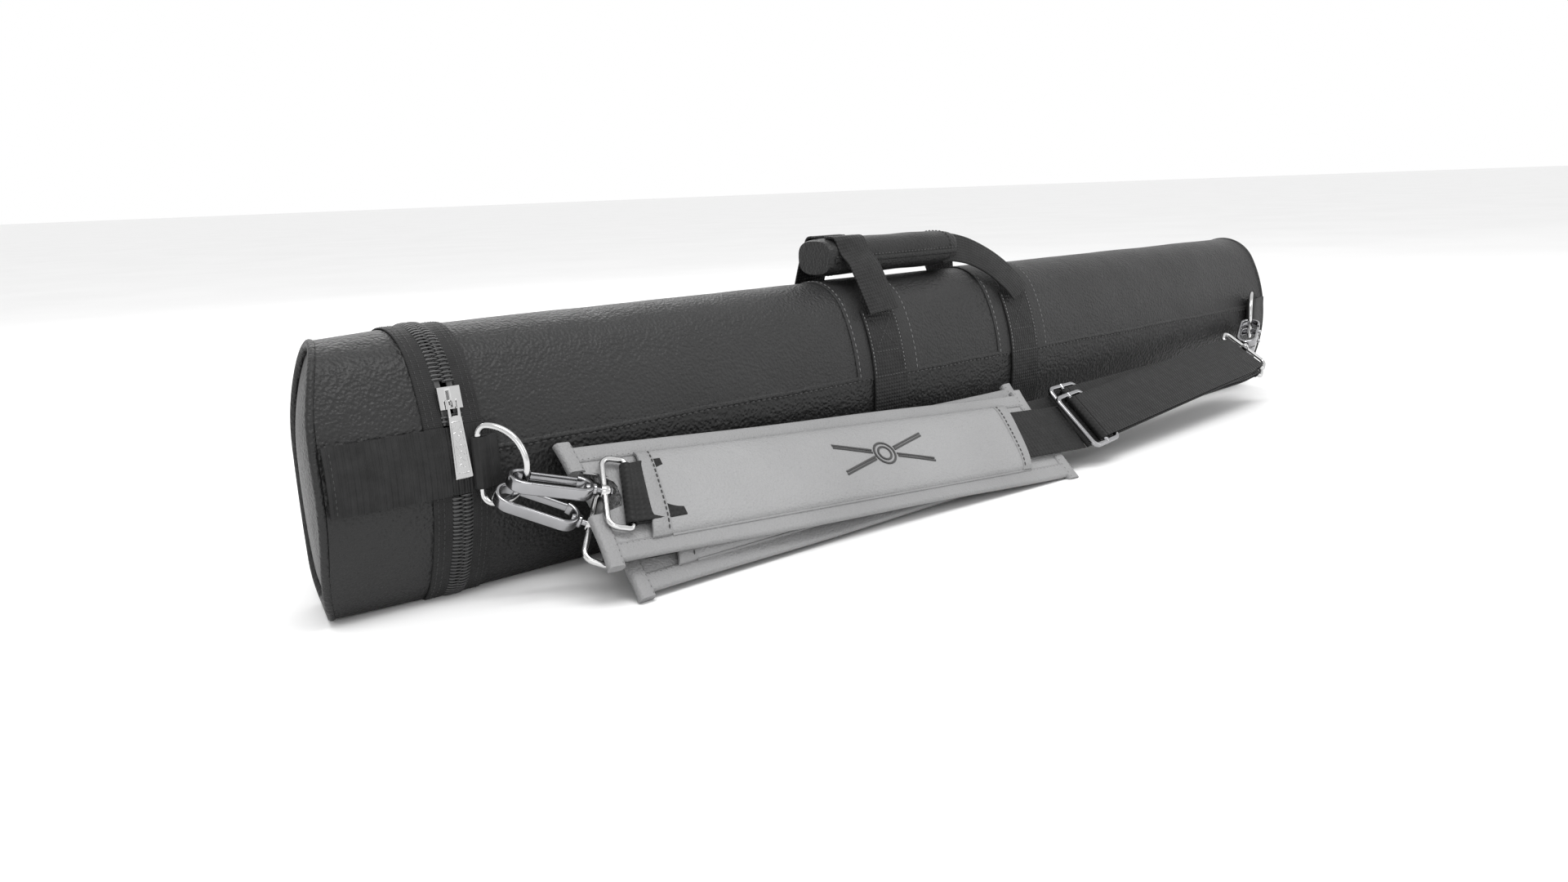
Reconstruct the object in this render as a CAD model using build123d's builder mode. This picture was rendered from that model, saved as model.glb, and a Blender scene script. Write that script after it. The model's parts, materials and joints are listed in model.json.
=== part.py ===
from build123d import *
from math import asin, atan2, cos, degrees, hypot, radians, sin, sqrt
import os

os.makedirs("parts", exist_ok=True)

# A backpack-style hard cue case, lying on its narrow edge with the carry handle on top.
# X runs along the case, from the lid end to the base end. The near side, with the rings and
# the shoulder straps, faces -Y. Z = 0 is the resting face and the origin is in its middle.
# All sizes are in millimetres.

# ---- driving dimensions: the case ----
case_length = 864.0
half_depth = 42.5
half_height = 71.0
end_radius = 33.0
rest_width = 34.0
vinyl = 1.6
shell_wall = 2.6
lining_wall = 1.2

# ---- the lid and its zip ----
lid_length = 65.0
lid_taper = 2.0
zip_gap = 7.0
coil_gap = 1.3
coil_outer = 5.0
coil_height = 2.4
tape_reach = 15.0
tape_thickness = 0.8
ribbon_width = 33.0
ribbon_rise = 8.0
ribbon_thickness = 1.2
piping_radius = 2.0
piping_wall = 3.6
piping_proud = 0.8
piping_play = 0.1
end_dome = 4.0
end_plate = 3.0

# ---- the inside ----
board = 2.5
shelf_height = 38.0
shaft_cell = 17.0
mouth_setback = 12.0
foam_pad = 8.0

# ---- handle ----
band_width = 58.0
band_low = -45.0
webbing = 1.4
case_webbing_width = 30.0
handle_leg_front = 367.0
handle_leg_rear = 508.0
handle_strap_low = -40.0
handle_strap_high = 52.0
grip_start = 342.0
grip_length = 124.0
grip_depth = 34.0
grip_height = 24.0
grip_lift = 3.0

# ---- rings and tabs ----
wire_radius = 1.75
ring_half_width = 19.5
ring_neck = 5.0
ring_height = 5.0
lid_ring_distance = 74.0
base_ring_distance = 835.0
lid_ring_turn = -53.0
base_ring_turn = -153.0
front_clip_angle = 25.0
rear_clip_angle = 60.0
tab_wall = 1.3
ring_play = 0.4

# ---- straps ----
strap_tilt = 46.0
strap_webbing_width = 38.0
hook_reach = 54.0
claw_length = 44.0
claw_slack = 6.3
claw_half_width = 8.5
claw_wall = 2.6
claw_band = 5.4
eye_depth = 13.0
eye_wire = 1.6
pad_length = 358.0
pad_width = 70.0
pad_thickness = 3.0
sleeve_length = 291.0
sleeve_wall = 1.2
slot_play = 0.3
glide_length = 34.0
glide_wire = 1.7

# ---- shapes worked out from them ----
case_start = -case_length / 2
case_end = case_length / 2
zip_x = case_start + lid_length
broad_radius = (half_depth**2 + (half_height - end_radius) ** 2 - end_radius**2) / (
    2 * (half_depth - end_radius)
)
broad_shift = broad_radius - half_depth
end_shift = half_height - end_radius
blend_angle = degrees(atan2(end_shift, broad_shift))
axis_height = end_shift + sqrt(end_radius**2 - (rest_width / 2) ** 2)


def along(distance):
    """X of a place that is this far from the lid end."""
    return case_start + distance


def oval_face(inset=0.0, floor=None):
    """The oval cross-section, drawn inset inside the outer skin, with its flat to rest on."""
    if floor is None:
        floor = max(inset, 0.0)
    small = end_radius - inset
    large = broad_radius - inset
    rest_angle = degrees(asin((axis_height - end_shift - floor) / small))
    foot = small * cos(radians(rest_angle))
    with BuildSketch() as face:
        with BuildLine():
            CenterArc((broad_shift, axis_height), large, 180 - blend_angle, 2 * blend_angle)
            CenterArc(
                (0, axis_height - end_shift), small, 180 + blend_angle, rest_angle - blend_angle
            )
            Line((-foot, floor), (foot, floor))
            CenterArc(
                (0, axis_height - end_shift), small, 360 - rest_angle, rest_angle - blend_angle
            )
            CenterArc((-broad_shift, axis_height), large, -blend_angle, 2 * blend_angle)
            CenterArc((0, axis_height + end_shift), small, blend_angle, 180 - 2 * blend_angle)
        make_face()
    return face.sketch


def oval_tube(start, end, outer, inner):
    """A straight length of tube between two insets of the oval."""
    with BuildPart() as tube:
        with BuildSketch(Plane.YZ.offset(start)):
            add(oval_face(outer))
            add(oval_face(inner), mode=Mode.SUBTRACT)
        extrude(amount=end - start)
    return tube.part


def lid_inset(x):
    """How far the lid has drawn in at this place, since it tapers towards its end."""
    return lid_taper * max(0.0, (zip_x - zip_gap - x) / (lid_length - zip_gap))


def lid_plug(start, end, inset):
    """A solid tapered length of the lid's section."""
    with BuildPart() as plug:
        with BuildSketch(Plane.YZ.offset(start)):
            add(oval_face(inset + lid_inset(start)))
        with BuildSketch(Plane.YZ.offset(end)):
            add(oval_face(inset + lid_inset(end)))
        loft()
    return plug.part


def save(piece, name):
    piece.label = name
    export_step(piece, f"parts/{name}.step")


# ======================= lid =======================
lid_edge = zip_x - zip_gap
lining_inset = vinyl + shell_wall
inner_inset = lining_inset + lining_wall

with BuildPart() as lid_cover:
    add(lid_plug(case_start, lid_edge, 0))
    add(lid_plug(case_start, lid_edge, vinyl), mode=Mode.SUBTRACT)
save(lid_cover.part, "lid_cover")

with BuildPart() as lid_shell:
    add(lid_plug(case_start, lid_edge, vinyl))
    add(lid_plug(case_start + end_plate, lid_edge, lining_inset), mode=Mode.SUBTRACT)
save(lid_shell.part, "lid_shell")

with BuildPart() as lid_lining:
    add(lid_plug(case_start + end_plate, lid_edge, lining_inset))
    add(lid_plug(case_start + end_plate + foam_pad, lid_edge, inner_inset), mode=Mode.SUBTRACT)
save(lid_lining.part, "lid_lining")


def end_panel(face_x, outward, first_inset):
    """A slightly domed vinyl end, as a plate whose rim slopes back."""
    return frustum(face_x, face_x + outward * end_dome, first_inset, first_inset + 3 * end_dome)


def frustum(start, end, first_inset, last_inset):
    """A length of the oval that draws in or swells between its two ends."""
    with BuildPart() as block:
        with BuildSketch(Plane.YZ.offset(start)):
            add(oval_face(first_inset))
        with BuildSketch(Plane.YZ.offset(end)):
            add(oval_face(last_inset))
        loft()
    return block.part


def piping(start, inset):
    """A cord round the rim, with its two outer edges rounded off."""
    soft = piping_radius * 0.6
    end = start + 2 * piping_radius
    with BuildPart() as cord:
        add(frustum(start, start + soft, inset + soft, inset))
        add(frustum(start + soft, end - soft, inset, inset))
        add(frustum(end - soft, end, inset, inset + soft))
        add(frustum(start, end, inset + piping_wall, inset + piping_wall), mode=Mode.SUBTRACT)
    return cord.part


def near_box(start, end, low, high, reach):
    """A block on the near side, between two heights measured from the case's middle."""
    middle = Pos((start + end) / 2, -half_depth, axis_height + (low + high) / 2)
    return middle * Box(end - start, reach, high - low, mode=Mode.PRIVATE)


ribbon_low = ribbon_rise - ribbon_width / 2
ribbon_high = ribbon_rise + ribbon_width / 2
lid_rim = lid_taper - piping_proud

save(end_panel(case_start, -1, lid_rim + piping_wall + piping_play), "lid_end_panel")
save(piping(case_start - 2 * piping_radius, lid_rim), "lid_piping")

with BuildPart() as lid_zip_tape:
    add(oval_tube(zip_x - tape_reach, zip_x - coil_outer, -tape_thickness, 0))
save(lid_zip_tape.part, "lid_zip_tape")

# The slider is parked on the near side. It swings round the top of the case on a circle that
# stays within a millimetre of the zip. The coil of the lid stops short of the parked slider.
slider_width = 11.6
slider_length = 11.0
slider_clear = 4.0
park_height = 38.0
park_slope = 12.2
park_y = broad_shift - sqrt(broad_radius**2 - park_height**2)
park_z = axis_height + park_height


def zip_coil(start, end):
    """One half of the zip, left out where the ribbon crosses it."""
    with BuildPart() as coil:
        add(oval_tube(start, end, -coil_height / 2, coil_height / 2))
        add(near_box(start - 1, end + 1, ribbon_low, ribbon_high, 30), mode=Mode.SUBTRACT)
    return coil.part


with BuildPart() as lid_zip_coil:
    add(zip_coil(zip_x - coil_outer, zip_x - coil_gap))
    with Locations((zip_x - coil_outer / 2, park_y, park_z)):
        Box(coil_outer + 2, 20, slider_length + 2 * slider_clear, mode=Mode.SUBTRACT)
save(lid_zip_coil.part, "lid_zip_coil")


def ribbon_piece(start, end):
    """Grosgrain ribbon on the near side, over the zip tape."""
    with BuildPart() as ribbon:
        add(oval_tube(start, end, -tape_thickness - ribbon_thickness, -tape_thickness))
        add(near_box(start - 1, end + 1, ribbon_low, ribbon_high, 40), mode=Mode.INTERSECT)
    return ribbon.part


ribbon_gap = 2.0
save(ribbon_piece(case_start + 1, zip_x - 2 * ribbon_gap), "lid_ribbon")

# ======================= case body =======================
body_edge = zip_x + zip_gap
body_end = case_end - end_plate
seam_height = axis_height + 10.0

for name, low, high in (
    ("lower_cover", -1.0, seam_height),
    ("upper_cover", seam_height, 2 * half_height),
):
    with BuildPart() as cover:
        add(oval_tube(body_edge, case_end, 0, vinyl))
        with Locations(((body_edge + case_end) / 2, 0, (low + high) / 2)):
            Box(case_length, 3 * half_depth, high - low, mode=Mode.INTERSECT)
    save(cover.part, name)

save(oval_tube(body_edge, body_end, vinyl, lining_inset), "case_shell")
save(oval_tube(body_edge, body_end - board, lining_inset, inner_inset), "case_lining")

with BuildPart() as base_cap:
    with BuildSketch(Plane.YZ.offset(body_end)):
        add(oval_face(vinyl))
    extrude(amount=end_plate)
save(base_cap.part, "base_cap")

with BuildPart() as base_pad:
    with BuildSketch(Plane.YZ.offset(body_end - board)):
        add(oval_face(lining_inset))
    extrude(amount=board)
save(base_pad.part, "base_pad")

save(end_panel(case_end, 1, piping_wall + piping_play), "base_panel")
save(piping(case_end, 0), "base_piping")

with BuildPart() as case_zip_tape:
    add(oval_tube(zip_x + coil_outer, zip_x + tape_reach, -tape_thickness, 0))
save(case_zip_tape.part, "case_zip_tape")
save(zip_coil(zip_x + coil_gap, zip_x + coil_outer), "case_zip_coil")

# ---- dividers: four cells for butts in the middle, four for shafts above and below ----
cell_start = body_edge + mouth_setback
cell_end = body_end - board
cell_middle = (cell_start + cell_end) / 2
cell_length = cell_end - cell_start


def inside_slab(low, high, left, right):
    """A lengthwise board cut to the inside of the lining."""
    with BuildPart() as slab:
        with BuildSketch(Plane.YZ.offset(cell_start)):
            add(oval_face(inner_inset))
        extrude(amount=cell_length)
        with Locations((cell_middle, (left + right) / 2, axis_height + (low + high) / 2)):
            Box(cell_length, right - left, high - low, mode=Mode.INTERSECT)
    return slab.part


save(inside_slab(shelf_height, shelf_height + board, -half_depth, half_depth), "upper_shelf")
save(inside_slab(-shelf_height - board, -shelf_height, -half_depth, half_depth), "lower_shelf")
save(inside_slab(-shelf_height, shelf_height, -board / 2, board / 2), "butt_divider_upright")

with BuildPart() as butt_divider_sides:
    add(inside_slab(-board / 2, board / 2, -half_depth, -board / 2))
    add(inside_slab(-board / 2, board / 2, board / 2, half_depth))
save(butt_divider_sides.part, "butt_divider_sides")

for name, low, high in (
    ("upper_shaft_dividers", shelf_height + board, half_height),
    ("lower_shaft_dividers", -half_height, -shelf_height - board),
):
    with BuildPart() as webs:
        for place in (-shaft_cell, 0, shaft_cell):
            add(inside_slab(low, high, place - board / 2, place + board / 2))
    save(webs.part, name)

# ---- ribbon end and ring tabs ----
tab_start = zip_x + ribbon_gap
ring_bar_standoff = tape_thickness + ribbon_thickness + ring_play + wire_radius
tab_loop_radius = wire_radius + ring_play
tab_slot = 7.0


def ring_tab(bar_x, root_x, low_standoff):
    """Webbing sewn flat to the side, which turns round the straight bar of a ring."""
    bar_y = -half_depth - ring_bar_standoff
    outer = tab_loop_radius + tab_wall
    side = 1 if bar_x > root_x else -1
    with BuildPart() as tab:
        with BuildSketch(Plane.XY.offset(axis_height + ring_height - 12)):
            with Locations((bar_x, bar_y)):
                Circle(outer)
            with Locations(((bar_x + root_x) / 2, bar_y)):
                Rectangle(abs(bar_x - root_x), 2 * outer)
            with Locations((bar_x, bar_y)):
                Circle(tab_loop_radius, mode=Mode.SUBTRACT)
            with Locations((bar_x - side * tab_slot / 2, bar_y)):
                Rectangle(tab_slot, 0.6, mode=Mode.SUBTRACT)
            with Locations((bar_x, -half_depth - low_standoff + 10)):
                Rectangle(200, 20, mode=Mode.SUBTRACT)
        extrude(amount=26)
    return tab.part


lid_bar = along(lid_ring_distance)
base_bar = along(base_ring_distance)
save(ribbon_piece(tab_start, lid_bar + 12), "case_ribbon")
save(ring_tab(lid_bar, lid_bar + 10, tape_thickness + ribbon_thickness + 0.1), "lid_ring_tab")
save(ring_tab(base_bar, case_end - 4, 0.2), "base_ring_tab")

# ======================= zip slider and pull =======================
# Drawn flat, with X across the zip, Y up along it and Z outward, then set on the top arc.
slider_lift = 0.9
top_plate_low = tape_thickness + slider_lift + 0.4
top_plate = 1.6
flange = 0.6
bottom_plate_top = -coil_height / 2 - 2.6
bottom_plate = 1.2
arch_low = 2.4
arch_wall = 1.0
arch_half = 3.6
pull_bar_radius = 0.65
pull_bar_rise = 1.4
pull_bar_place = -1.5
pull_width = 9.0
pull_length = 39.0
pull_thickness = 1.6
pull_prong = 0.5
pull_slot_width = 4.0
pull_slot_length = 7.0
pull_lean = 4.0
plate_top = top_plate_low + top_plate

slider_frame = Plane(
    origin=(zip_x, park_y, park_z),
    x_dir=(1, 0, 0),
    z_dir=(0, -cos(radians(park_slope)), sin(radians(park_slope))),
)

with BuildPart(slider_frame) as zip_slider:
    with Locations((0, 0, top_plate_low + top_plate / 2)):
        Box(slider_width, slider_length, top_plate)
    with Locations((0, 0, bottom_plate_top - bottom_plate / 2)):
        Box(slider_width - 1.4, slider_length - 3, bottom_plate)
    with Locations((0, slider_length / 2 - 2.5, (bottom_plate_top + top_plate_low) / 2)):
        Box(1.8, 2, top_plate_low - bottom_plate_top)
    for side in (-1, 1):
        with Locations((side * (slider_width - flange) / 2, 0, top_plate_low)):
            Box(flange, slider_length, 0.6)
    with Locations((0, 0, plate_top + arch_low + arch_wall / 2)):
        Box(1.6, 2 * arch_half + 2.4, arch_wall)
    for side in (-1, 1):
        with Locations((0, side * (arch_half + 0.6), plate_top + arch_low / 2)):
            Box(1.6, 1.2, arch_low)
save(zip_slider.part, "zip_slider")

pull_frame = Plane(slider_frame.location * Pos(0, pull_bar_place, plate_top + pull_bar_rise))
pull_frame = Plane(pull_frame.location * Rotation(pull_lean, 0, 0))

with BuildPart(pull_frame) as zip_pull:
    with BuildSketch(pull_frame.offset(-pull_thickness / 2)):
        with Locations((0, pull_prong - pull_length / 2)):
            Trapezoid(pull_width, pull_length, 88, 88)
        with Locations((0, pull_prong - pull_slot_length / 2)):
            Rectangle(pull_slot_width, pull_slot_length, mode=Mode.SUBTRACT)
    extrude(amount=pull_thickness)
    Cylinder(pull_bar_radius, pull_width - 3, rotation=(0, 90, 0))
save(zip_pull.part, "zip_pull")

# ======================= carry handle =======================


def leg_places(wide):
    """X of the two places where the handle's webbing is sewn to the case."""
    return [(along(leg) - wide / 2, along(leg) + wide / 2) for leg in (handle_leg_front, handle_leg_rear)]


for name, ends in zip(("front_handle_band", "rear_handle_band"), leg_places(band_width)):
    with BuildPart() as band:
        add(oval_tube(ends[0], ends[1], -tape_thickness, 0))
        with Locations((sum(ends) / 2, 0, axis_height + band_low + half_height)):
            Box(band_width + 2, 3 * half_depth, 2 * half_height, mode=Mode.INTERSECT)
    save(band.part, name)

for name, ends in zip(
    ("front_handle_strap", "rear_handle_strap"), leg_places(case_webbing_width)
):
    with BuildPart() as strap:
        add(oval_tube(ends[0], ends[1], -tape_thickness - webbing, -tape_thickness))
        with Locations(
            (sum(ends) / 2, 0, axis_height + (handle_strap_low + handle_strap_high) / 2)
        ):
            Box(
                case_webbing_width + 2,
                3 * half_depth,
                handle_strap_high - handle_strap_low,
                mode=Mode.INTERSECT,
            )
    save(strap.part, name)

grip_low = axis_height + half_height + tape_thickness + grip_lift
with BuildPart() as handle_grip:
    with BuildSketch(Plane.YZ.offset(along(grip_start))):
        with Locations((0, grip_low + grip_height / 2)):
            RectangleRounded(grip_depth, grip_height, grip_height / 2 - 1)
    extrude(amount=grip_length)
save(handle_grip.part, "handle_grip")

# Each leg lies in a plane through X that slopes from the sewn end up to the grip.
leg_foot_y = -end_radius - 4.5
leg_foot_z = axis_height + handle_strap_high + 1.0
leg_head_y = -grip_depth / 2 + 2.0
leg_head_z = grip_low + grip_height * 0.3


def handle_leg(foot, head, side):
    """One free leg of webbing between the case and the grip, on the near or the far side."""
    slope = hypot(leg_head_y - leg_foot_y, leg_head_z - leg_foot_z)
    rise = (leg_head_z - leg_foot_z) / slope
    run = (leg_head_y - leg_foot_y) / slope
    frame = Plane(
        origin=(0, side * leg_foot_y, leg_foot_z), x_dir=(1, 0, 0), z_dir=(0, -side * rise, run)
    )
    half = case_webbing_width / 2
    up = 1 if frame.y_dir.Z > 0 else -1
    with BuildPart() as leg:
        with BuildSketch(frame):
            with BuildLine():
                Polyline(
                    (foot - half, 0),
                    (foot + half, 0),
                    (head + half, up * slope),
                    (head - half, up * slope),
                    close=True,
                )
            make_face()
        extrude(amount=webbing)
        add(handle_grip.part, mode=Mode.SUBTRACT)
    return leg.part


rear_head = along(grip_start + grip_length) - case_webbing_width / 2
front_head = along(handle_leg_front) - 2
for name, side in (("near_handle_legs", 1), ("far_handle_legs", -1)):
    with BuildPart() as legs:
        add(handle_leg(along(handle_leg_front), front_head, side))
        add(handle_leg(along(handle_leg_rear), rear_head, side))
    save(legs.part, name)

# ======================= rings =======================


def heading(degrees_turned):
    """A level direction, turned from +X towards the far side."""
    return Vector(cos(radians(degrees_turned)), sin(radians(degrees_turned)), 0)


def ring_point(bar_x, turn, angle):
    """A place on a ring's wire, at this angle below the middle of its bow."""
    reach = ring_neck + ring_half_width * cos(radians(angle))
    middle = Vector(bar_x, -half_depth - ring_bar_standoff, axis_height + ring_height)
    return middle + heading(turn) * reach - Vector(0, 0, ring_half_width * sin(radians(angle)))


def d_ring(bar_x, turn):
    """A ring of round wire with one straight side, which stands upright in its tab."""
    bar = Vector(bar_x, -half_depth - ring_bar_standoff, axis_height + ring_height)
    frame = Plane(origin=bar, x_dir=heading(turn), z_dir=heading(turn).cross(Vector(0, 0, 1)))
    with BuildPart() as ring:
        with BuildLine(frame) as bow:
            CenterArc((ring_neck, 0), ring_half_width, -90, 180)
            CenterArc((ring_neck, ring_half_width - ring_neck), ring_neck, 90, 90)
            Line((0, ring_half_width - ring_neck), (0, -ring_half_width + ring_neck))
            CenterArc((ring_neck, -ring_half_width + ring_neck), ring_neck, 180, 90)
        with BuildSketch(Plane(origin=bow.wire() @ 0, z_dir=bow.wire() % 0)):
            Circle(wire_radius)
        sweep()
    return ring.part


save(d_ring(lid_bar, lid_ring_turn), "lid_end_ring")
save(d_ring(base_bar, base_ring_turn), "base_end_ring")

# ======================= shoulder straps =======================
# Each strap has a plane of its own, through the places where its two hooks hold the rings.
# In it, the first coordinate runs towards the base end and the second one upwards.
up_the_plane = Vector(0, sin(radians(strap_tilt)), cos(radians(strap_tilt)))
layer = webbing / 2
fold_inner = eye_wire + 0.3
fold_outer = fold_inner + webbing
fold_rise = fold_inner + layer


def strap_plane(lid_clip, base_clip):
    """The plane of a strap, sunk a little at the base end for the turn of its webbing."""
    rough = Plane(
        origin=lid_clip, x_dir=base_clip - lid_clip, z_dir=(base_clip - lid_clip).cross(up_the_plane)
    )
    outward = rough.z_dir if rough.z_dir.Z > 0 else rough.z_dir * -1
    along_strap = base_clip - outward * fold_rise - lid_clip
    outward = along_strap.cross(up_the_plane)
    outward = outward if outward.Z > 0 else outward * -1
    return Plane(origin=lid_clip, x_dir=along_strap, z_dir=outward)


def wire_direction(turn, angle):
    """Which way the wire of a ring runs where a hook holds it."""
    level = heading(turn) * sin(radians(angle))
    return level + Vector(0, 0, cos(radians(angle)))


def hook_axis(plane, direction):
    """The direction in a strap's plane at this angle."""
    return plane.x_dir * cos(radians(direction)) + plane.y_dir * sin(radians(direction))


post_start = claw_length - claw_slack - claw_wall
post_radius = 1.6
post_fit = 0.06
collar_radius = 3.4
collar_length = 4.4
collar_play = 0.4
post_end = hook_reach - eye_depth + collar_length / 2 + collar_play
gate_start = 3.5
gate_end = 28.0
gate_wall = 2.2
gate_band = 4.4
gate_play = 0.3
loop_corner = 2.2


def claw_frame(clip, axis, wire):
    """Where a hook's claw lies: its length along the hook, its loop square to the wire."""
    square = wire - axis * wire.dot(axis)
    return Plane(origin=clip, x_dir=axis, z_dir=square)


def claw(clip, axis, wire):
    """A flat oval loop of cast metal with a post at its end, open where the gate goes."""
    frame = claw_frame(clip, axis, wire)
    middle = claw_length / 2 - claw_slack - claw_wall
    side = claw_half_width - claw_wall / 2
    with BuildPart() as body:
        with BuildSketch(frame.offset(-claw_band / 2)):
            with Locations((middle, 0)):
                SlotOverall(claw_length, 2 * claw_half_width)
                SlotOverall(
                    claw_length - 2 * claw_wall,
                    2 * (claw_half_width - claw_wall),
                    mode=Mode.SUBTRACT,
                )
            with Locations(((gate_start + gate_end) / 2, side)):
                Rectangle(gate_end - gate_start, 2 * claw_wall, mode=Mode.SUBTRACT)
        extrude(amount=claw_band)
        with BuildSketch(Plane(origin=clip + axis * (post_start - 1), z_dir=axis)):
            Circle(post_radius)
        extrude(amount=post_end - post_start + 1)
        with BuildSketch(Plane(origin=clip + axis * post_end, z_dir=axis)):
            Circle(post_radius + 1)
        extrude(amount=1.2)
        with BuildSketch(Plane(origin=clip + axis * (post_start - 0.8), z_dir=axis)):
            Circle(post_radius + 1.6)
        extrude(amount=2.4)
    return body.part


def gate(clip, axis, wire):
    """The sprung bar that closes a claw."""
    frame = claw_frame(clip, axis, wire)
    with BuildPart() as bar:
        with BuildSketch(frame.offset(-gate_band / 2)):
            with Locations(((gate_start + gate_end) / 2, claw_half_width - claw_wall / 2)):
                Rectangle(gate_end - gate_start - 2 * gate_play, gate_wall)
        extrude(amount=gate_band)
    return bar.part


def wire_loop(frame, start, end, half, radius):
    """A closed rectangle of round wire with rounded corners."""
    with BuildSketch(frame) as window:
        with Locations(((start + end) / 2, 0)):
            RectangleRounded(end - start, 2 * half, loop_corner)
    path = window.sketch.face().outer_wire()
    with BuildPart() as loop:
        with BuildSketch(Plane(origin=path @ 0, z_dir=path % 0)):
            Circle(radius)
        sweep(path=path)
    return loop.part


def eye(plane, clip, axis):
    """A wire loop for the webbing, with a collar that turns on the claw's post."""
    half = strap_webbing_width / 2 + eye_wire + 0.8
    near = hook_reach - eye_depth
    frame = Plane(origin=clip, x_dir=axis, z_dir=plane.z_dir)
    with BuildPart() as loop:
        add(wire_loop(frame, near, hook_reach, half, eye_wire))
        with BuildSketch(Plane(origin=clip + axis * (near - collar_length / 2), z_dir=axis)):
            Circle(collar_radius)
        extrude(amount=collar_length)
        with BuildSketch(Plane(origin=clip + axis * (near - collar_length), z_dir=axis)):
            Circle(post_radius + post_fit)
        extrude(amount=2 * collar_length, mode=Mode.SUBTRACT)
    return loop.part


def flat_strip(plane, start, end, low, high, width=strap_webbing_width):
    """Webbing between two places in a strap's plane, between two heights off the plane."""
    direction = Vector(end[0] - start[0], end[1] - start[1])
    length = direction.length
    origin = plane.from_local_coords(Vector(start[0], start[1], 0))
    x_dir = plane.x_dir * direction.X + plane.y_dir * direction.Y
    frame = Plane(origin=origin, x_dir=x_dir, z_dir=plane.z_dir)
    with BuildPart() as strip:
        with BuildSketch(frame.offset(low)):
            with Locations((length / 2, 0)):
                Rectangle(length, width)
        extrude(amount=high - low)
    return strip.part


def slanted_strip(plane, start, start_angle, end, end_angle, low, high):
    """Webbing whose two end edges lie along bars that are set at other angles."""
    corners = []
    for place, angle, side in (
        (start, start_angle, 1), (start, start_angle, -1), (end, end_angle, -1), (end, end_angle, 1)
    ):
        reach = polar(side * strap_webbing_width / 2, angle + 90)
        corners.append((place[0] + reach[0], place[1] + reach[1]))
    with BuildPart() as strip:
        with BuildSketch(plane.offset(low)):
            with BuildLine():
                Polyline(corners, close=True)
            make_face()
        extrude(amount=high - low)
    return strip.part


def turned_webbing(plane, place, direction, rise):
    """Webbing folded round a bar that crosses the strap here."""
    across = plane.y_dir * cos(radians(direction)) - plane.x_dir * sin(radians(direction))
    middle = plane.from_local_coords(Vector(place[0], place[1], rise))
    origin = middle - across * (strap_webbing_width / 2)
    with BuildPart() as fold:
        with BuildSketch(Plane(origin=origin, z_dir=across)):
            Circle(fold_outer)
            Circle(fold_inner, mode=Mode.SUBTRACT)
        extrude(amount=strap_webbing_width)
    return fold.part


def glide(plane, place, direction, rise):
    """A three-bar slide of round wire: a frame with a bar across its middle."""
    frame = Plane(
        origin=plane.from_local_coords(Vector(place[0], place[1], rise)),
        x_dir=hook_axis(plane, direction),
        z_dir=plane.z_dir,
    )
    half = strap_webbing_width / 2 + glide_wire + 0.8
    reach = glide_length / 2 - glide_wire
    with BuildPart() as slide:
        add(wire_loop(frame, -reach, reach, half, glide_wire))
        with BuildSketch(Plane(origin=frame.origin - frame.y_dir * half, z_dir=frame.y_dir)):
            Circle(eye_wire)
        extrude(amount=2 * half)
    return slide.part


def polar(length, angle):
    return (length * cos(radians(angle)), length * sin(radians(angle)))


def heading_between(start, end):
    return degrees(atan2(end[1] - start[1], end[0] - start[0]))


def part_way(start, end, distance):
    """The place this far from start on the way to end."""
    angle = heading_between(start, end)
    return (start[0] + distance * cos(radians(angle)), start[1] + distance * sin(radians(angle)))


glide_rise = layer + 0.3 + fold_outer
glide_travel = 15.0
tail_length = 60.0
pad_top = -fold_outer - 0.3
pad_back = pad_top - pad_thickness
notch_half = 12.0
notch_end = post_end + 2.5
sleeve_top = layer + slot_play + sleeve_wall
slot_half = strap_webbing_width / 2 + 1.0

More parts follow.
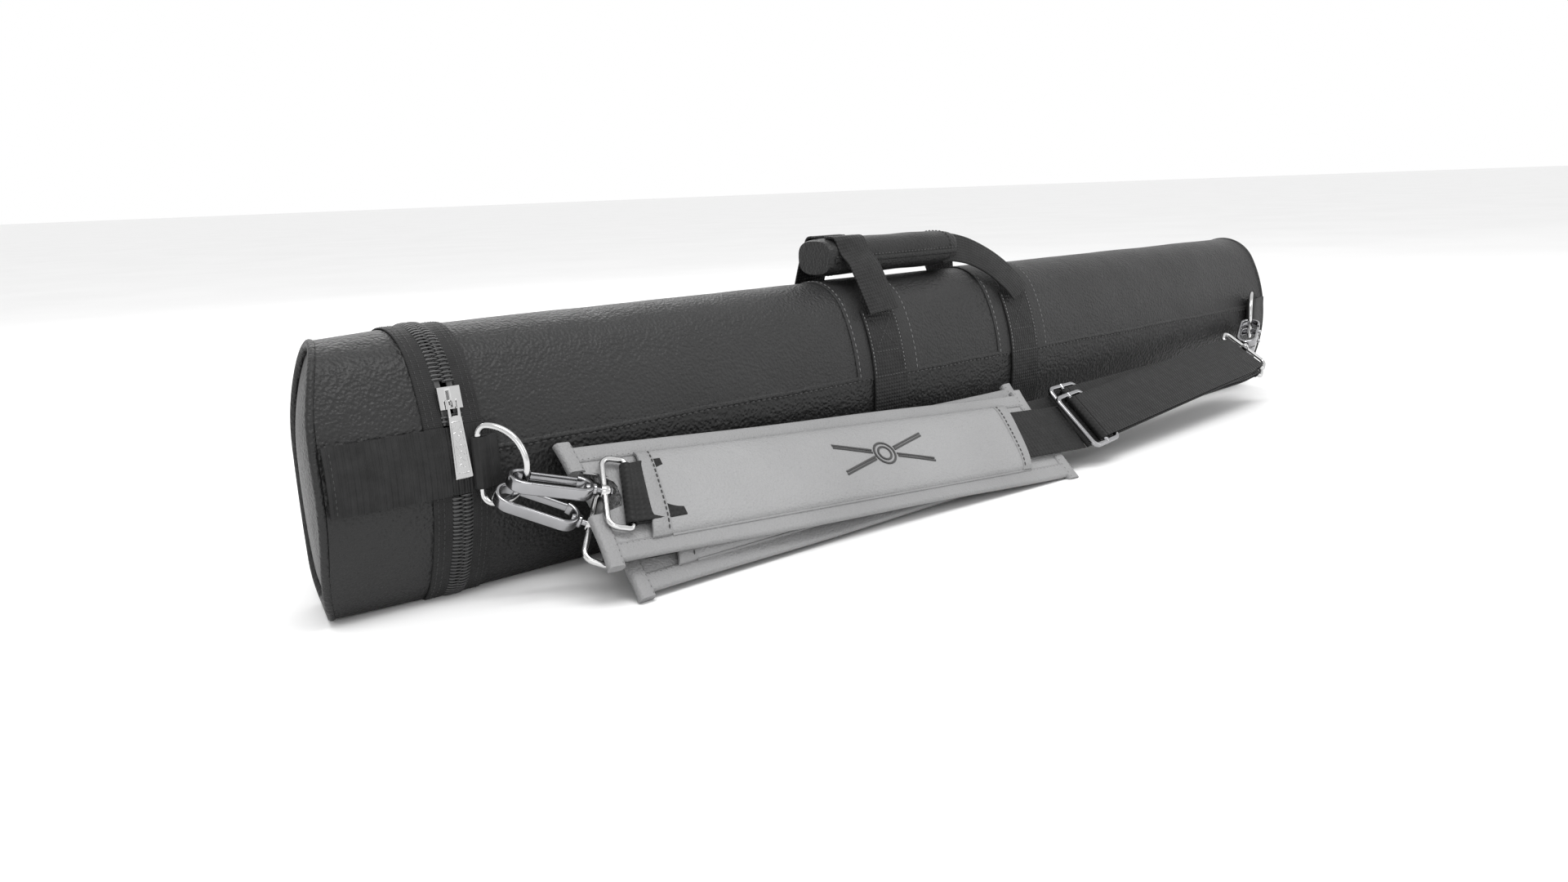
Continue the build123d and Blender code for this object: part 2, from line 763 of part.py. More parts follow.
for name, clip_angle, lid_hook_angle, base_hook_angle, glide_place, pad_start in (
    ("front", front_clip_angle, -22.0, -151.0, (406.0, -49.0), 26.0),
    ("rear", rear_clip_angle, -37.0, -153.0, (424.0, -32.0), 42.0),
):
    lid_clip = ring_point(lid_bar, lid_ring_turn, clip_angle)
    base_clip = ring_point(base_bar, base_ring_turn, clip_angle)
    plane = strap_plane(lid_clip, base_clip)
    span = (base_clip - lid_clip).length
    lid_axis = hook_axis(plane, lid_hook_angle)
    base_axis = hook_axis(plane, base_hook_angle)
    lid_wire = wire_direction(lid_ring_turn, clip_angle)
    base_wire = wire_direction(base_ring_turn, clip_angle)
    lid_turn = polar(hook_reach, lid_hook_angle)
    base_turn = polar(hook_reach, base_hook_angle)
    base_turn = (base_turn[0] + span, base_turn[1])
    pad_angle = heading_between(lid_turn, glide_place)
    long_angle = heading_between(glide_place, base_turn)

    for end, clip, axis, wire in (
        ("lid", lid_clip, lid_axis, lid_wire),
        ("base", base_clip, base_axis, base_wire),
    ):
        save(claw(clip, axis, wire), f"{name}_{end}_claw")
        save(gate(clip, axis, wire), f"{name}_{end}_gate")
        save(eye(plane, clip, axis), f"{name}_{end}_eye")

    with BuildPart() as webbing_run:
        add(turned_webbing(plane, lid_turn, lid_hook_angle, 0))
        lid_start = polar(hook_reach + fold_inner + layer, lid_hook_angle)
        add(slanted_strip(plane, lid_start, lid_hook_angle, glide_place, pad_angle, -layer, layer))
        base_angle = base_hook_angle + 180
        add(slanted_strip(plane, glide_place, long_angle, base_turn, base_angle, -layer, layer))
        add(turned_webbing(plane, base_turn, base_angle, fold_rise))
        outer_start = part_way(glide_place, base_turn, glide_length + glide_travel + 2)
        outer_low = fold_rise + fold_inner
        outer_high = outer_low + webbing
        add(
            slanted_strip(plane, outer_start, long_angle, base_turn, base_angle, outer_low, outer_high)
        )
    save(webbing_run.part, f"{name}_strap_webbing")

    save(glide(plane, part_way(glide_place, base_turn, glide_length / 2), long_angle, glide_rise),
         f"{name}_strap_glide")

    with BuildPart() as tail:
        bar_place = part_way(glide_place, base_turn, glide_length / 2)
        tail_low = glide_rise + fold_inner
        add(turned_webbing(plane, bar_place, long_angle, glide_rise))
        add(flat_strip(plane, bar_place, part_way(bar_place, base_turn, tail_length),
                       tail_low, tail_low + webbing))
    save(tail.part, f"{name}_strap_tail")

    pad_from = part_way(lid_turn, glide_place, pad_start - lid_turn[0])
    pad_to = part_way(pad_from, glide_place, pad_length)
    with BuildPart() as pad:
        add(flat_strip(plane, pad_from, pad_to, pad_back, pad_top, pad_width))
        notch_place = polar(notch_end, lid_hook_angle)
        add(
            flat_strip(plane, (0, 0), notch_place, pad_back, pad_top, 2 * notch_half),
            mode=Mode.SUBTRACT,
        )
    save(pad.part, f"{name}_strap_pad")

    sleeve_from = part_way(pad_from, pad_to, (pad_length - sleeve_length) / 2)
    sleeve_to = part_way(sleeve_from, pad_to, sleeve_length)
    with BuildPart() as sleeve:
        add(flat_strip(plane, sleeve_from, sleeve_to, pad_top, sleeve_top, pad_width - 6))
        add(
            flat_strip(
                plane, sleeve_from, sleeve_to, -layer - slot_play, layer + slot_play, 2 * slot_half
            ),
            mode=Mode.SUBTRACT,
        )
    save(sleeve.part, f"{name}_strap_sleeve")
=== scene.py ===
import json
from math import asin, atan2, ceil, cos, degrees, pi, radians, sin, sqrt

import bmesh
import bpy
import numpy as np
from mathutils import Matrix, Vector, noise


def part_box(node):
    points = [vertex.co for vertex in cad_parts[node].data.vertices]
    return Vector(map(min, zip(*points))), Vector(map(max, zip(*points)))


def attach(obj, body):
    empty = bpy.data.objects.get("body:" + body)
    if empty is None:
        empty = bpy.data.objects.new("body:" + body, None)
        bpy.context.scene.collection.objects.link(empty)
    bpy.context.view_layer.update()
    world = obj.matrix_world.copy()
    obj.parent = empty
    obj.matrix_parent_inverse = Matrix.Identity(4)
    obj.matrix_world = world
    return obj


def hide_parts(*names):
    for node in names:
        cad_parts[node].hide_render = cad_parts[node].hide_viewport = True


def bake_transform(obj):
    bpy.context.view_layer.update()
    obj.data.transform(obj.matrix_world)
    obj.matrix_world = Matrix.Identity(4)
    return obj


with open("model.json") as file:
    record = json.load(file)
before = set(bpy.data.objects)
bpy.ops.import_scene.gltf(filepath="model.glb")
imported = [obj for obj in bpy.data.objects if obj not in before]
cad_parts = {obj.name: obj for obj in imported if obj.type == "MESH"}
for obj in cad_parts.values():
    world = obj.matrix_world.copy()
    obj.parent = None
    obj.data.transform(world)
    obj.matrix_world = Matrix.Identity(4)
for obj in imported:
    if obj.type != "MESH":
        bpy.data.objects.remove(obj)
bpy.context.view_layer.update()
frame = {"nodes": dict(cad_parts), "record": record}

# A zipped oval cue case with a carry handle and two clipped shoulder straps.
# Sizes are in millimetres, as in the CAD model, and become metres in add_piece().
MM = 0.001
RECORD = frame["record"]
JOINT = {joint["name"]: joint for joint in RECORD["behaviour"]["joints"]}

# ---- the case's section and its places, the same as in the CAD model ----
CASE_LENGTH = 864.0
HALF_DEPTH = 42.5
HALF_HEIGHT = 71.0
END_RADIUS = 33.0
REST_WIDTH = 34.0
VINYL = 1.6
LID_LENGTH = 65.0
LID_TAPER = 2.0
ZIP_GAP = 7.0
TAPE = 0.8
WEBBING = 1.4
STRAP_WIDTH = 38.0
PAD_LENGTH = 358.0
PAD_WIDTH = 70.0
PAD_TOP = -3.6
PAD_BACK = -6.6
SLEEVE_LENGTH = 291.0
HOOK_REACH = 54.0

CASE_START = -CASE_LENGTH / 2
CASE_END = CASE_LENGTH / 2
ZIP_X = CASE_START + LID_LENGTH
LID_EDGE = ZIP_X - ZIP_GAP
BODY_EDGE = ZIP_X + ZIP_GAP
BROAD_RADIUS = (HALF_DEPTH**2 + (HALF_HEIGHT - END_RADIUS) ** 2 - END_RADIUS**2) / (
    2 * (HALF_DEPTH - END_RADIUS)
)
BROAD_SHIFT = BROAD_RADIUS - HALF_DEPTH
END_SHIFT = HALF_HEIGHT - END_RADIUS
BLEND = degrees(atan2(END_SHIFT, BROAD_SHIFT))
AXIS = END_SHIFT + sqrt(END_RADIUS**2 - (REST_WIDTH / 2) ** 2)
SEAM = 10.0
RIM = 1.9
TAPE_START = 5.0
TAPE_END = 15.0
TOOTH_PITCH = 2.1
SLIDER_HEIGHT = 38.0
SLIDER_HALF = 7.5
RIBBON_LOW = -8.5
RIBBON_HIGH = 24.5
RIBBON_TOP = TAPE + 1.35
RIBBON_SINK = 1.2
LEGS = (CASE_START + 367.0, CASE_START + 508.0)
BAND_HALF = 29.0
HANDLE_WEBBING_HALF = 15.0
SEWN_LOW = -40.0
SEWN_HIGH = 52.0
GRIP_POWER = 0.72
WIRE = 1.75
RING_HALF = 19.5
RING_NECK = 5.0
RING_PLAY = 0.4
TAB_WALL = 1.3
TAB_CLOTH = 1.2
TAB_WIDTH = 26.0

# the hooks, eyes and slides of the straps
BAR_PLAY = 0.3
CLAW_LENGTH = 44.0
CLAW_SLACK = 6.3
CLAW_WALL = 2.6
CLAW_BAND = 6.6
CLAW_HALF = 8.5
GATE_START = 3.8
GATE_END = 27.7
EYE_WIRE = 1.6
EYE_DEPTH = 13.0
EYE_PLAY = 0.8
BAR_FOLD = EYE_WIRE + BAR_PLAY + WEBBING / 2
GLIDE_RISE = WEBBING / 2 + BAR_PLAY + EYE_WIRE + BAR_PLAY + WEBBING

# how finely skins are cut, along and round the case
SKIN_STEP = 7.0
ROUND_STEP = 2.5

# stitches: (pitch, length, radius)
SEAM_STITCH = (4.2, 2.9, 0.55)
RIM_STITCH = (3.6, 2.4, 0.3)
TAPE_STITCH = (3.0, 2.0, 0.28)
RIBBON_STITCH = (3.0, 2.0, 0.3)
BAND_STITCH = (4.0, 2.4, 0.26)
EDGE_STITCH = (2.6, 1.5, 0.27)
CROSS_STITCH = (2.6, 1.9, 0.34)
GRIP_STITCH = (3.2, 2.2, 0.35)
GRIP_END_STITCH = (3.2, 2.2, 0.3)
TAB_STITCH = (2.8, 1.9, 0.3)
PAD_STITCH = (3.4, 2.4, 0.48)

X_AXIS = np.array([1.0, 0.0, 0.0])
Y_AXIS = np.array([0.0, 1.0, 0.0])
Z_AXIS = np.array([0.0, 0.0, 1.0])


# ======================= the oval section =======================
def oval_table():
    """Samples of the outer section: y, z and the outward normal, by distance round it."""
    rest = degrees(asin((AXIS - END_SHIFT) / END_RADIUS))
    rows = []

    def arc(centre_y, centre_z, radius, first, last):
        count = int(abs(last - first) * pi / 180 * radius / 0.5)
        for turn in np.linspace(radians(first), radians(last), count, endpoint=False):
            rows.append(
                (centre_y + radius * cos(turn), centre_z + radius * sin(turn), cos(turn), sin(turn))
            )

    def flat(first, last):
        for y in np.linspace(first, last, 20, endpoint=False):
            rows.append((y, 0.0, 0.0, -1.0))

    flat(0, -REST_WIDTH / 2)
    arc(0, AXIS - END_SHIFT, END_RADIUS, 180 + rest, 180 + BLEND)
    arc(BROAD_SHIFT, AXIS, BROAD_RADIUS, 180 + BLEND, 180 - BLEND)
    arc(0, AXIS + END_SHIFT, END_RADIUS, 180 - BLEND, BLEND)
    arc(-BROAD_SHIFT, AXIS, BROAD_RADIUS, BLEND, -BLEND)
    arc(0, AXIS - END_SHIFT, END_RADIUS, -BLEND, -rest)
    flat(REST_WIDTH / 2, 0)
    rows.append((0.0, 0.0, 0.0, -1.0))
    table = np.array(rows)
    steps = np.hypot(np.diff(table[:, 0]), np.diff(table[:, 1]))
    return table, np.concatenate(([0.0], np.cumsum(steps)))


OVAL, OVAL_RUN = oval_table()
ROUND = OVAL_RUN[-1]


def oval_at(run):
    """y, z, normal y and normal z at these distances round the section."""
    run = np.asarray(run, float)
    inside = np.where((run < 0) | (run > ROUND), np.mod(run, ROUND), run)
    return np.stack([np.interp(inside, OVAL_RUN, OVAL[:, k]) for k in range(4)], -1)


def near_run(height):
    """How far round the section this height on the near side is, from the case's middle."""
    near = (OVAL[:, 0] < 0) & (OVAL[:, 1] > 1)
    return float(np.interp(height + AXIS, OVAL[near, 1], OVAL_RUN[near]))


def far_run(height):
    """The same for the far side."""
    return ROUND - near_run(height)


def on_oval(runs, x, height=0.0):
    """Points at this height above the section, at these distances round it, and the normals."""
    table = oval_at(runs)
    out = np.column_stack([np.zeros(len(table)), table[:, 2:]])
    points = np.column_stack([np.full(len(table), x), table[:, :2]]) + height * out
    return points, out


def places(first, second, third):
    """Rows of three coordinates; any of them may be one number."""
    return np.stack(np.broadcast_arrays(first, second, third), -1).astype(float)


def end_drop(x, y, z):
    """The soft end of the lid is pressed in at its top, its far side and a little at its foot."""
    share = np.clip((LID_EDGE - x) / (LID_EDGE - CASE_START), 0, 1.2)
    high = np.clip((z - AXIS - 12) / 58, 0, 1.2)
    low = np.clip((AXIS - 45 - z) / 22, 0, 1.2)
    far = np.clip((y + 34) / 76, 0, 1.0)
    return share * (10.0 * high**2 + 3.0 * low**2 + 17.0 * far)


def lid_inset(x):
    """How far the lid's taper brings its skin in."""
    return LID_TAPER * np.clip((LID_EDGE - x) / (LID_EDGE - CASE_START), 0, 1.1)


# ======================= meshes =======================
def loft(rings, wrap_rings=False, wrap_sides=True, caps=True):
    """Joins a stack of rings of points into faces."""
    rings = np.asarray(rings, float)
    count, around = rings.shape[:2]
    faces = []
    for i in range(count if wrap_rings else count - 1):
        following = (i + 1) % count
        for k in range(around if wrap_sides else around - 1):
            beside = (k + 1) % around
            faces.append(
                (i * around + k, i * around + beside, following * around + beside, following * around + k)
            )
    if caps and wrap_sides and not wrap_rings:
        faces.append(tuple(reversed(range(around))))
        faces.append(tuple(range((count - 1) * around, count * around)))
    return rings.reshape(-1, 3), faces


def add_piece(name, parts, material, body, nodes=(), sharp=38, cloth=None):
    """Makes one object out of (points, faces) parts given in millimetres."""
    points = []
    faces = []
    for part_points, part_faces in parts:
        offset = len(points)
        points.extend(part_points)
        faces.extend([tuple(index + offset for index in face) for face in part_faces])
    mesh = bpy.data.meshes.new(name)
    mesh.from_pydata([tuple(np.asarray(point) * MM) for point in points], [], faces)
    if cloth is not None:
        weave = mesh.attributes.new("cloth", "FLOAT_VECTOR", "POINT")
        weave.data.foreach_set("vector", (np.asarray(cloth, float) * MM).ravel())
    shaped = bmesh.new()
    shaped.from_mesh(mesh)
    bmesh.ops.recalc_face_normals(shaped, faces=shaped.faces)
    for face in shaped.faces:
        face.smooth = True
    for edge in shaped.edges:
        if len(edge.link_faces) == 2 and edge.calc_face_angle(0) > radians(sharp):
            edge.smooth = False
    shaped.to_mesh(mesh)
    shaped.free()
    mesh.materials.append(material)
    obj = bpy.data.objects.new(name, mesh)
    bpy.context.scene.collection.objects.link(obj)
    if body is not None:
        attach(obj, body)
    if nodes:
        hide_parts(*nodes)
    return obj


def unit(vector):
    """The same direction with a length of one."""
    vector = np.asarray(vector, float)
    return vector / np.linalg.norm(vector, axis=-1, keepdims=True)


def round_oval(profile, runs, wrap=False, lid=False):
    """Sweeps an outline of (x, height) round the section."""
    profile = np.asarray(profile, float)
    table = oval_at(runs)
    x = np.broadcast_to(profile[:, 0], (len(runs), len(profile)))
    height = profile[:, 1] - (lid_inset(profile[:, 0]) if lid else 0)
    y = table[:, 0:1] + height * table[:, 2:3]
    z = table[:, 1:2] + height * table[:, 3:4]
    if lid:
        x = x + end_drop(x, y, z)
    return loft(np.stack([x, y, z], -1), wrap_rings=wrap)


def sampled(start, end, step):
    """Evenly spaced numbers from start to end, no further apart than the step."""
    return np.linspace(start, end, max(2, int(ceil(abs(end - start) / step)) + 1))


def all_round(step=ROUND_STEP):
    """Distances round the whole section."""
    return np.linspace(0, ROUND, int(ROUND / step), endpoint=False)


def band_profile(start, end, low, high, step=8.0, edge=0.3):
    """A closed strip outline with softened outer corners."""
    top = [(x, high) for x in sampled(start + edge, end - edge, step)]
    return [(start, low), (start, high - edge)] + top + [(end, high - edge), (end, low)]


def sweep(points, sideways, normals, section, closed=False):
    """Carries an outline of (across, out) along a path."""
    points = np.asarray(points, float)
    section = np.asarray(section, float)
    sideways = np.broadcast_to(sideways, points.shape)
    normals = np.broadcast_to(normals, points.shape)
    rings = (
        points[:, None]
        + section[None, :, 0:1] * sideways[:, None]
        + section[None, :, 1:2] * normals[:, None]
    )
    return loft(rings, wrap_rings=closed)


def circle_section(radius, sides=12):
    """The outline of a round wire."""
    turns = np.linspace(0, 2 * pi, sides, endpoint=False)
    return np.stack([radius * np.cos(turns), radius * np.sin(turns)], -1)


def rounded_box(width, height, corner, steps=3):
    """The outline of a rectangle with rounded corners."""
    rows = []
    for centre_x, centre_y, first in (
        (width / 2 - corner, height / 2 - corner, 0),
        (-width / 2 + corner, height / 2 - corner, 90),
        (-width / 2 + corner, -height / 2 + corner, 180),
        (width / 2 - corner, -height / 2 + corner, 270),
    ):
        for turn in np.radians(np.linspace(first, first + 90, steps + 1)):
            rows.append((centre_x + corner * cos(turn), centre_y + corner * sin(turn)))
    return np.array(rows)


def tangents(points, closed=False):
    """The direction of a line at each of its points."""
    points = np.asarray(points, float)
    if closed:
        return unit(np.roll(points, -1, 0) - np.roll(points, 1, 0))
    return unit(np.gradient(points, axis=0))


def local(frame3, rows):
    """Points given in a frame's own three coordinates, in the case's."""
    origin, first, second, third = frame3
    rows = np.asarray(rows, float)
    return origin + rows[..., 0:1] * first + rows[..., 1:2] * second + rows[..., 2:3] * third


def flat_wire(path, frame3, section, closed=False):
    """Sweeps an outline along a path drawn in a plane: frame3 is its origin and three axes."""
    origin, first, second, normal = frame3
    path = np.asarray(path, float)
    points = origin + path[:, 0:1] * first + path[:, 1:2] * second
    return sweep(points, np.cross(normal, tangents(points, closed)), normal, section, closed)


def filleted(corners, radii, steps=6):
    """A closed outline whose corners are rounded."""
    rows = []
    count = len(corners)
    for i in range(count):
        here = np.array(corners[i], float)
        back = unit(np.array(corners[i - 1]) - here)
        ahead = unit(np.array(corners[(i + 1) % count]) - here)
        half = np.arccos(np.clip(back @ ahead, -1, 1)) / 2
        reach = radii[i] / np.tan(half)
        centre = here + unit(back + ahead) * (radii[i] / np.sin(half))
        first = here + back * reach - centre
        last = here + ahead * reach - centre
        start = atan2(first[1], first[0])
        turn = atan2(last[1], last[0]) - start
        turn = (turn + pi) % (2 * pi) - pi
        for share in np.linspace(0, 1, steps + 1):
            angle = start + turn * share
            rows.append(centre + radii[i] * np.array([cos(angle), sin(angle)]))
    return np.array(rows)


def lathe(profile, origin, axis, sides=24):
    """Turns an outline of (distance, radius) round an axis."""
    axis = unit(axis)
    helper = unit(np.cross(axis, (0.3, 0.5, 0.8)))
    other = np.cross(axis, helper)
    turns = np.linspace(0, 2 * pi, sides, endpoint=False)
    rings = [
        [origin + axis * along + radius * (cos(t) * helper + sin(t) * other) for t in turns]
        for along, radius in profile
    ]
    return loft(rings)


def eased(share):
    """A share from 0 to 1 that starts and stops slowly."""
    return 3 * share**2 - 2 * share**3


def run_along(points):
    """The distance along a line at each of its points."""
    steps = np.linalg.norm(np.diff(points, axis=0), axis=1)
    return np.concatenate(([0.0], np.cumsum(steps)))


def stitch_row(points, normals, stitch):
    """Separate stitches along a line on a surface."""
    pitch, length, radius = stitch
    sink = 0.1
    points = np.asarray(points, float)
    normals = unit(np.broadcast_to(normals, points.shape))
    run = run_along(points)
    parts = []
    section = circle_section(1.0, 6)
    for middle in np.arange(pitch / 2, run[-1] - length / 2, pitch):
        ends = (middle - length / 2, middle + length / 2)
        first, last = [
            np.array([np.interp(end, run, points[:, k]) for k in range(3)]) for end in ends
        ]
        out = unit([np.interp(middle, run, normals[:, k]) for k in range(3)])
        ahead = unit(last - first)
        across = np.cross(out, ahead)
        rings = []
        for share, size in ((0, 0.35), (0.2, 0.9), (0.5, 1.0), (0.8, 0.9), (1, 0.35)):
            centre = first + (last - first) * share + out * (size * radius * 0.5 - sink)
            rings.append(centre + radius * size * (section[:, 0:1] * across + section[:, 1:2] * out))
        parts.append(loft(rings))
    return parts


# ======================= materials =======================
class Shader:
    """A small helper that wires one procedural material."""

    def __init__(self, name, colour, rough, metallic=0.0, **sockets):
        self.material = bpy.data.materials.new(name)
        self.material.use_nodes = True
        self.tree = self.material.node_tree
        self.shader = self.tree.nodes["Principled BSDF"]
        self.shader.inputs["Base Color"].default_value = (*colour, 1)
        self.shader.inputs["Roughness"].default_value = rough
        self.shader.inputs["Metallic"].default_value = metallic
        for socket, value in sockets.items():
            self.shader.inputs[socket.replace("_", " ")].default_value = value
        place = self.tree.nodes.new("ShaderNodeTexCoord")
        self.place = place.outputs["Object"]
        self.height = None

    def node(self, kind, **values):
        made = self.tree.nodes.new(kind)
        for key, value in values.items():
            if hasattr(made, key):
                setattr(made, key, value)
            else:
                made.inputs[key.replace("_", " ")].default_value = value
        return made

    def link(self, source, target):
        self.tree.links.new(source, target)

    def noise(self, scale, detail=4.0, rough=0.55, source=None):
        made = self.node("ShaderNodeTexNoise", Scale=scale, Detail=detail, Roughness=rough)
        self.link(source or self.place, made.inputs["Vector"])
        return made.outputs["Fac"]

    def cells(self, scale, feature="F1", source=None):
        made = self.node("ShaderNodeTexVoronoi", Scale=scale, feature=feature)
        self.link(source or self.place, made.inputs["Vector"])
        return made.outputs["Distance"]

    def waves(self, scale, direction, source=None, distortion=0.0):
        made = self.node(
            "ShaderNodeTexWave", Scale=scale, bands_direction=direction, Distortion=distortion
        )
        self.link(source or self.place, made.inputs["Vector"])
        return made.outputs["Fac"]

    def cloth(self):
        made = self.node("ShaderNodeAttribute", attribute_name="cloth")
        return made.outputs["Vector"]

    def spread(self, fac, low, high, stops=(0.3, 0.7)):
        """A colour between two others."""
        ramp = self.node("ShaderNodeValToRGB")
        for element, stop, colour in zip(ramp.color_ramp.elements, stops, (low, high)):
            element.position = stop
            element.color = (*colour, 1)
        self.link(fac, ramp.inputs["Fac"])
        return ramp.outputs["Color"]

    def colour(self, fac, low, high, stops=(0.3, 0.7)):
        self.link(self.spread(fac, low, high, stops), self.shader.inputs["Base Color"])

    def roughness(self, fac, low, high):
        made = self.node("ShaderNodeMapRange")
        made.inputs["To Min"].default_value = low
        made.inputs["To Max"].default_value = high
        self.link(fac, made.inputs["Value"])
        self.link(made.outputs["Result"], self.shader.inputs["Roughness"])

    def bump(self, fac, distance, strength=1.0):
        made = self.node("ShaderNodeBump", Strength=strength, Distance=distance)
        self.link(fac, made.inputs["Height"])
        if self.height is not None:
            self.link(self.height, made.inputs["Normal"])
        self.height = made.outputs["Normal"]
        self.link(self.height, self.shader.inputs["Normal"])

    def multiply(self, first, second):
        made = self.node("ShaderNodeMath", operation="MULTIPLY")
        self.link(first, made.inputs[0])
        self.link(second, made.inputs[1])
        return made.outputs["Value"]


def leather(name, dark, light, low, high, grain=620.0, depth=0.00035, **sockets):
    """Grained synthetic leather: cells with creases between them, on slow undulations."""
    made = Shader(name, light, low, Specular_IOR_Level=0.30, **sockets)
    made.colour(made.noise(9.0, 6.0), dark, light)
    made.roughness(made.noise(55.0, 5.0), low, high)
    made.bump(made.noise(45.0, 3.0), 0.0016, 0.6)
    made.bump(made.noise(170.0, 4.0, 0.7), 0.0008, 0.6)
    made.bump(made.cells(grain, "SMOOTH_F1"), depth * 2.2, 0.9)
    made.bump(made.noise(grain * 1.7, 2.0), depth, 0.7)
    return made.material


def woven(name, dark, light, rough, pitch, ribs=False):
    """Webbing: a chevron of fine threads along the cloth coordinates."""
    made = Shader(name, light, rough, Sheen_Weight=0.03, Specular_IOR_Level=0.22)
    made.colour(made.noise(120.0, 5.0), dark, light)
    made.roughness(made.noise(300.0, 3.0), rough - 0.08, rough + 0.12)
    cloth = made.cloth()
    across = made.waves(1.0 / pitch * 0.16, "X", cloth)
    lengthways = made.waves(1.0 / pitch * 0.16, "Y", cloth)
    if ribs:
        made.bump(lengthways, 0.0005, 0.6)
    else:
        made.bump(made.multiply(across, lengthways), 0.0005, 0.7)
        made.bump(made.waves(1.0 / pitch * 0.08, "DIAGONAL", cloth), 0.0003, 0.35)
    made.bump(made.noise(2500.0, 2.0), 0.0002, 0.4)
    return made.material


def plated(name, colour, rough, wear=0.1, metallic=1.0):
    """Bright plating, or hard plastic, with faint smudges and fine scratches."""
    made = Shader(name, colour, rough, metallic)
    made.roughness(made.noise(90.0, 6.0), rough, rough + wear)
    tone = tuple(channel * 0.86 for channel in colour)
    made.colour(made.noise(60.0, 4.0), tone, colour)
    made.bump(made.noise(500.0, 3.0), 0.00006, 0.3)
    return made.material


def thread(name, dark, light):
    """Twisted sewing thread."""
    made = Shader(name, light, 0.6, Sheen_Weight=0.2)
    made.colour(made.noise(900.0, 3.0), dark, light)
    made.bump(made.waves(900.0, "DIAGONAL"), 0.0002, 0.5)
    return made.material


def cloth_like(name, dark, light, rough, scale):
    """Plain woven cloth."""
    made = Shader(name, light, rough, Sheen_Weight=0.04, Specular_IOR_Level=0.22)
    made.colour(made.noise(70.0, 6.0), dark, light)
    made.roughness(made.noise(200.0, 3.0), rough - 0.06, rough + 0.08)
    weave = made.multiply(made.waves(scale, "X"), made.waves(scale, "Z"))
    made.bump(weave, 0.0004, 0.55)
    made.bump(made.noise(scale * 4, 2.0), 0.0002, 0.4)
    return made.material


def board_like(name, dark, light):
    """Stiff pressed board."""
    made = Shader(name, light, 0.6)
    made.colour(made.noise(35.0, 6.0), dark, light)
    made.roughness(made.noise(80.0, 4.0), 0.5, 0.75)
    made.bump(made.noise(600.0, 4.0), 0.0003, 0.4)
    return made.material


def grey(value):
    """A nearly neutral grey."""
    return (value, value, value * 1.01)


BLACK_VINYL = leather("black_vinyl", grey(0.012), grey(0.020), 0.36, 0.50)
# a darker copy of the black vinyl for the skin below the seams: painted shade, as if the light falls from
# above
SHADED_LOWER_VINYL = leather("lower_vinyl_painted_shade", grey(0.008), grey(0.014), 0.34, 0.48, grain=520.0, depth=0.0004)
GREY_VINYL = leather("grey_vinyl", grey(0.235), grey(0.275), 0.42, 0.56, grain=800.0, depth=0.0002)
TRIM_VINYL = leather("trim_vinyl", grey(0.205), grey(0.25), 0.40, 0.54, grain=900.0, depth=0.0002)
BAND_VINYL = leather("band_vinyl", grey(0.012), grey(0.019), 0.44, 0.56, grain=900.0, depth=0.0002)
RIBBON = woven("ribbon_cloth", grey(0.010), grey(0.020), 0.55, 0.0014, ribs=True)
TAPE_CLOTH = cloth_like("tape_cloth", grey(0.010), grey(0.018), 0.6, 330.0)
STRAP_CLOTH = woven("strap_cloth", grey(0.006), grey(0.012), 0.55, 0.0016)
HANDLE_CLOTH = woven("handle_cloth", grey(0.006), grey(0.013), 0.48, 0.0012)
GRIP_CLOTH = leather("grip_cover", grey(0.008), grey(0.014), 0.40, 0.52, grain=700.0, depth=0.00025)
COIL = plated("coil_nylon", grey(0.05), 0.3, metallic=0.0)
CHROME = plated("bright_plating", (0.60, 0.60, 0.60), 0.10)
NICKEL = plated("dark_nickel", (0.34, 0.34, 0.35), 0.13)
DARK_THREAD = thread("dark_thread", grey(0.008), grey(0.016))
PALE_THREAD = thread("pale_thread", grey(0.10), grey(0.2))
PAD_THREAD = thread("pad_thread", grey(0.012), grey(0.03))
LINING = cloth_like("lining_cloth", grey(0.03), grey(0.05), 0.85, 420.0)
BOARD = board_like("stiff_board", grey(0.03), grey(0.05))

# ======================= covers of the body =======================
near_seam = near_run(SEAM)
far_seam = far_run(SEAM)


def settle(points, amount):
    """Slow hollows and swellings in a soft skin, out from the case's axis and clear of its foot."""
    out = np.array(points)
    foot = 2.5
    for i, (x, y, z) in enumerate(out):
        push = noise.noise(Vector((x / 55.0, y / 30.0, z / 34.0)))
        push += 0.5 * noise.noise(Vector((x / 21.0 + 7, y / 14.0, z / 15.0)))
        reach = sqrt(y * y + (z - AXIS) ** 2) or 1.0
        if z > foot:
            out[i, 1] += amount * push * y / reach
            out[i, 2] += amount * push * (z - AXIS) / reach
    return out


def cover(name, runs, material, node):
    """A skin over the body, between two seams."""
    outer = [(x, 0.0) for x in sampled(BODY_EDGE, CASE_END, SKIN_STEP)]
    points, faces = round_oval([(BODY_EDGE, -VINYL)] + outer + [(CASE_END, -VINYL)], runs)
    add_piece(name, [(settle(points, 0.28), faces)], material, "case", [node])


cover("upper_skin", sampled(near_seam, far_seam, 2.6), BLACK_VINYL, "upper_cover")
# the skin below the seams takes the darker copy of the vinyl, which is painted shade
under = (sampled(far_seam, ROUND, 2.6), ROUND + sampled(2.6, near_seam, 2.6))
cover("lower_skin", np.concatenate(under), SHADED_LOWER_VINYL, "lower_cover")


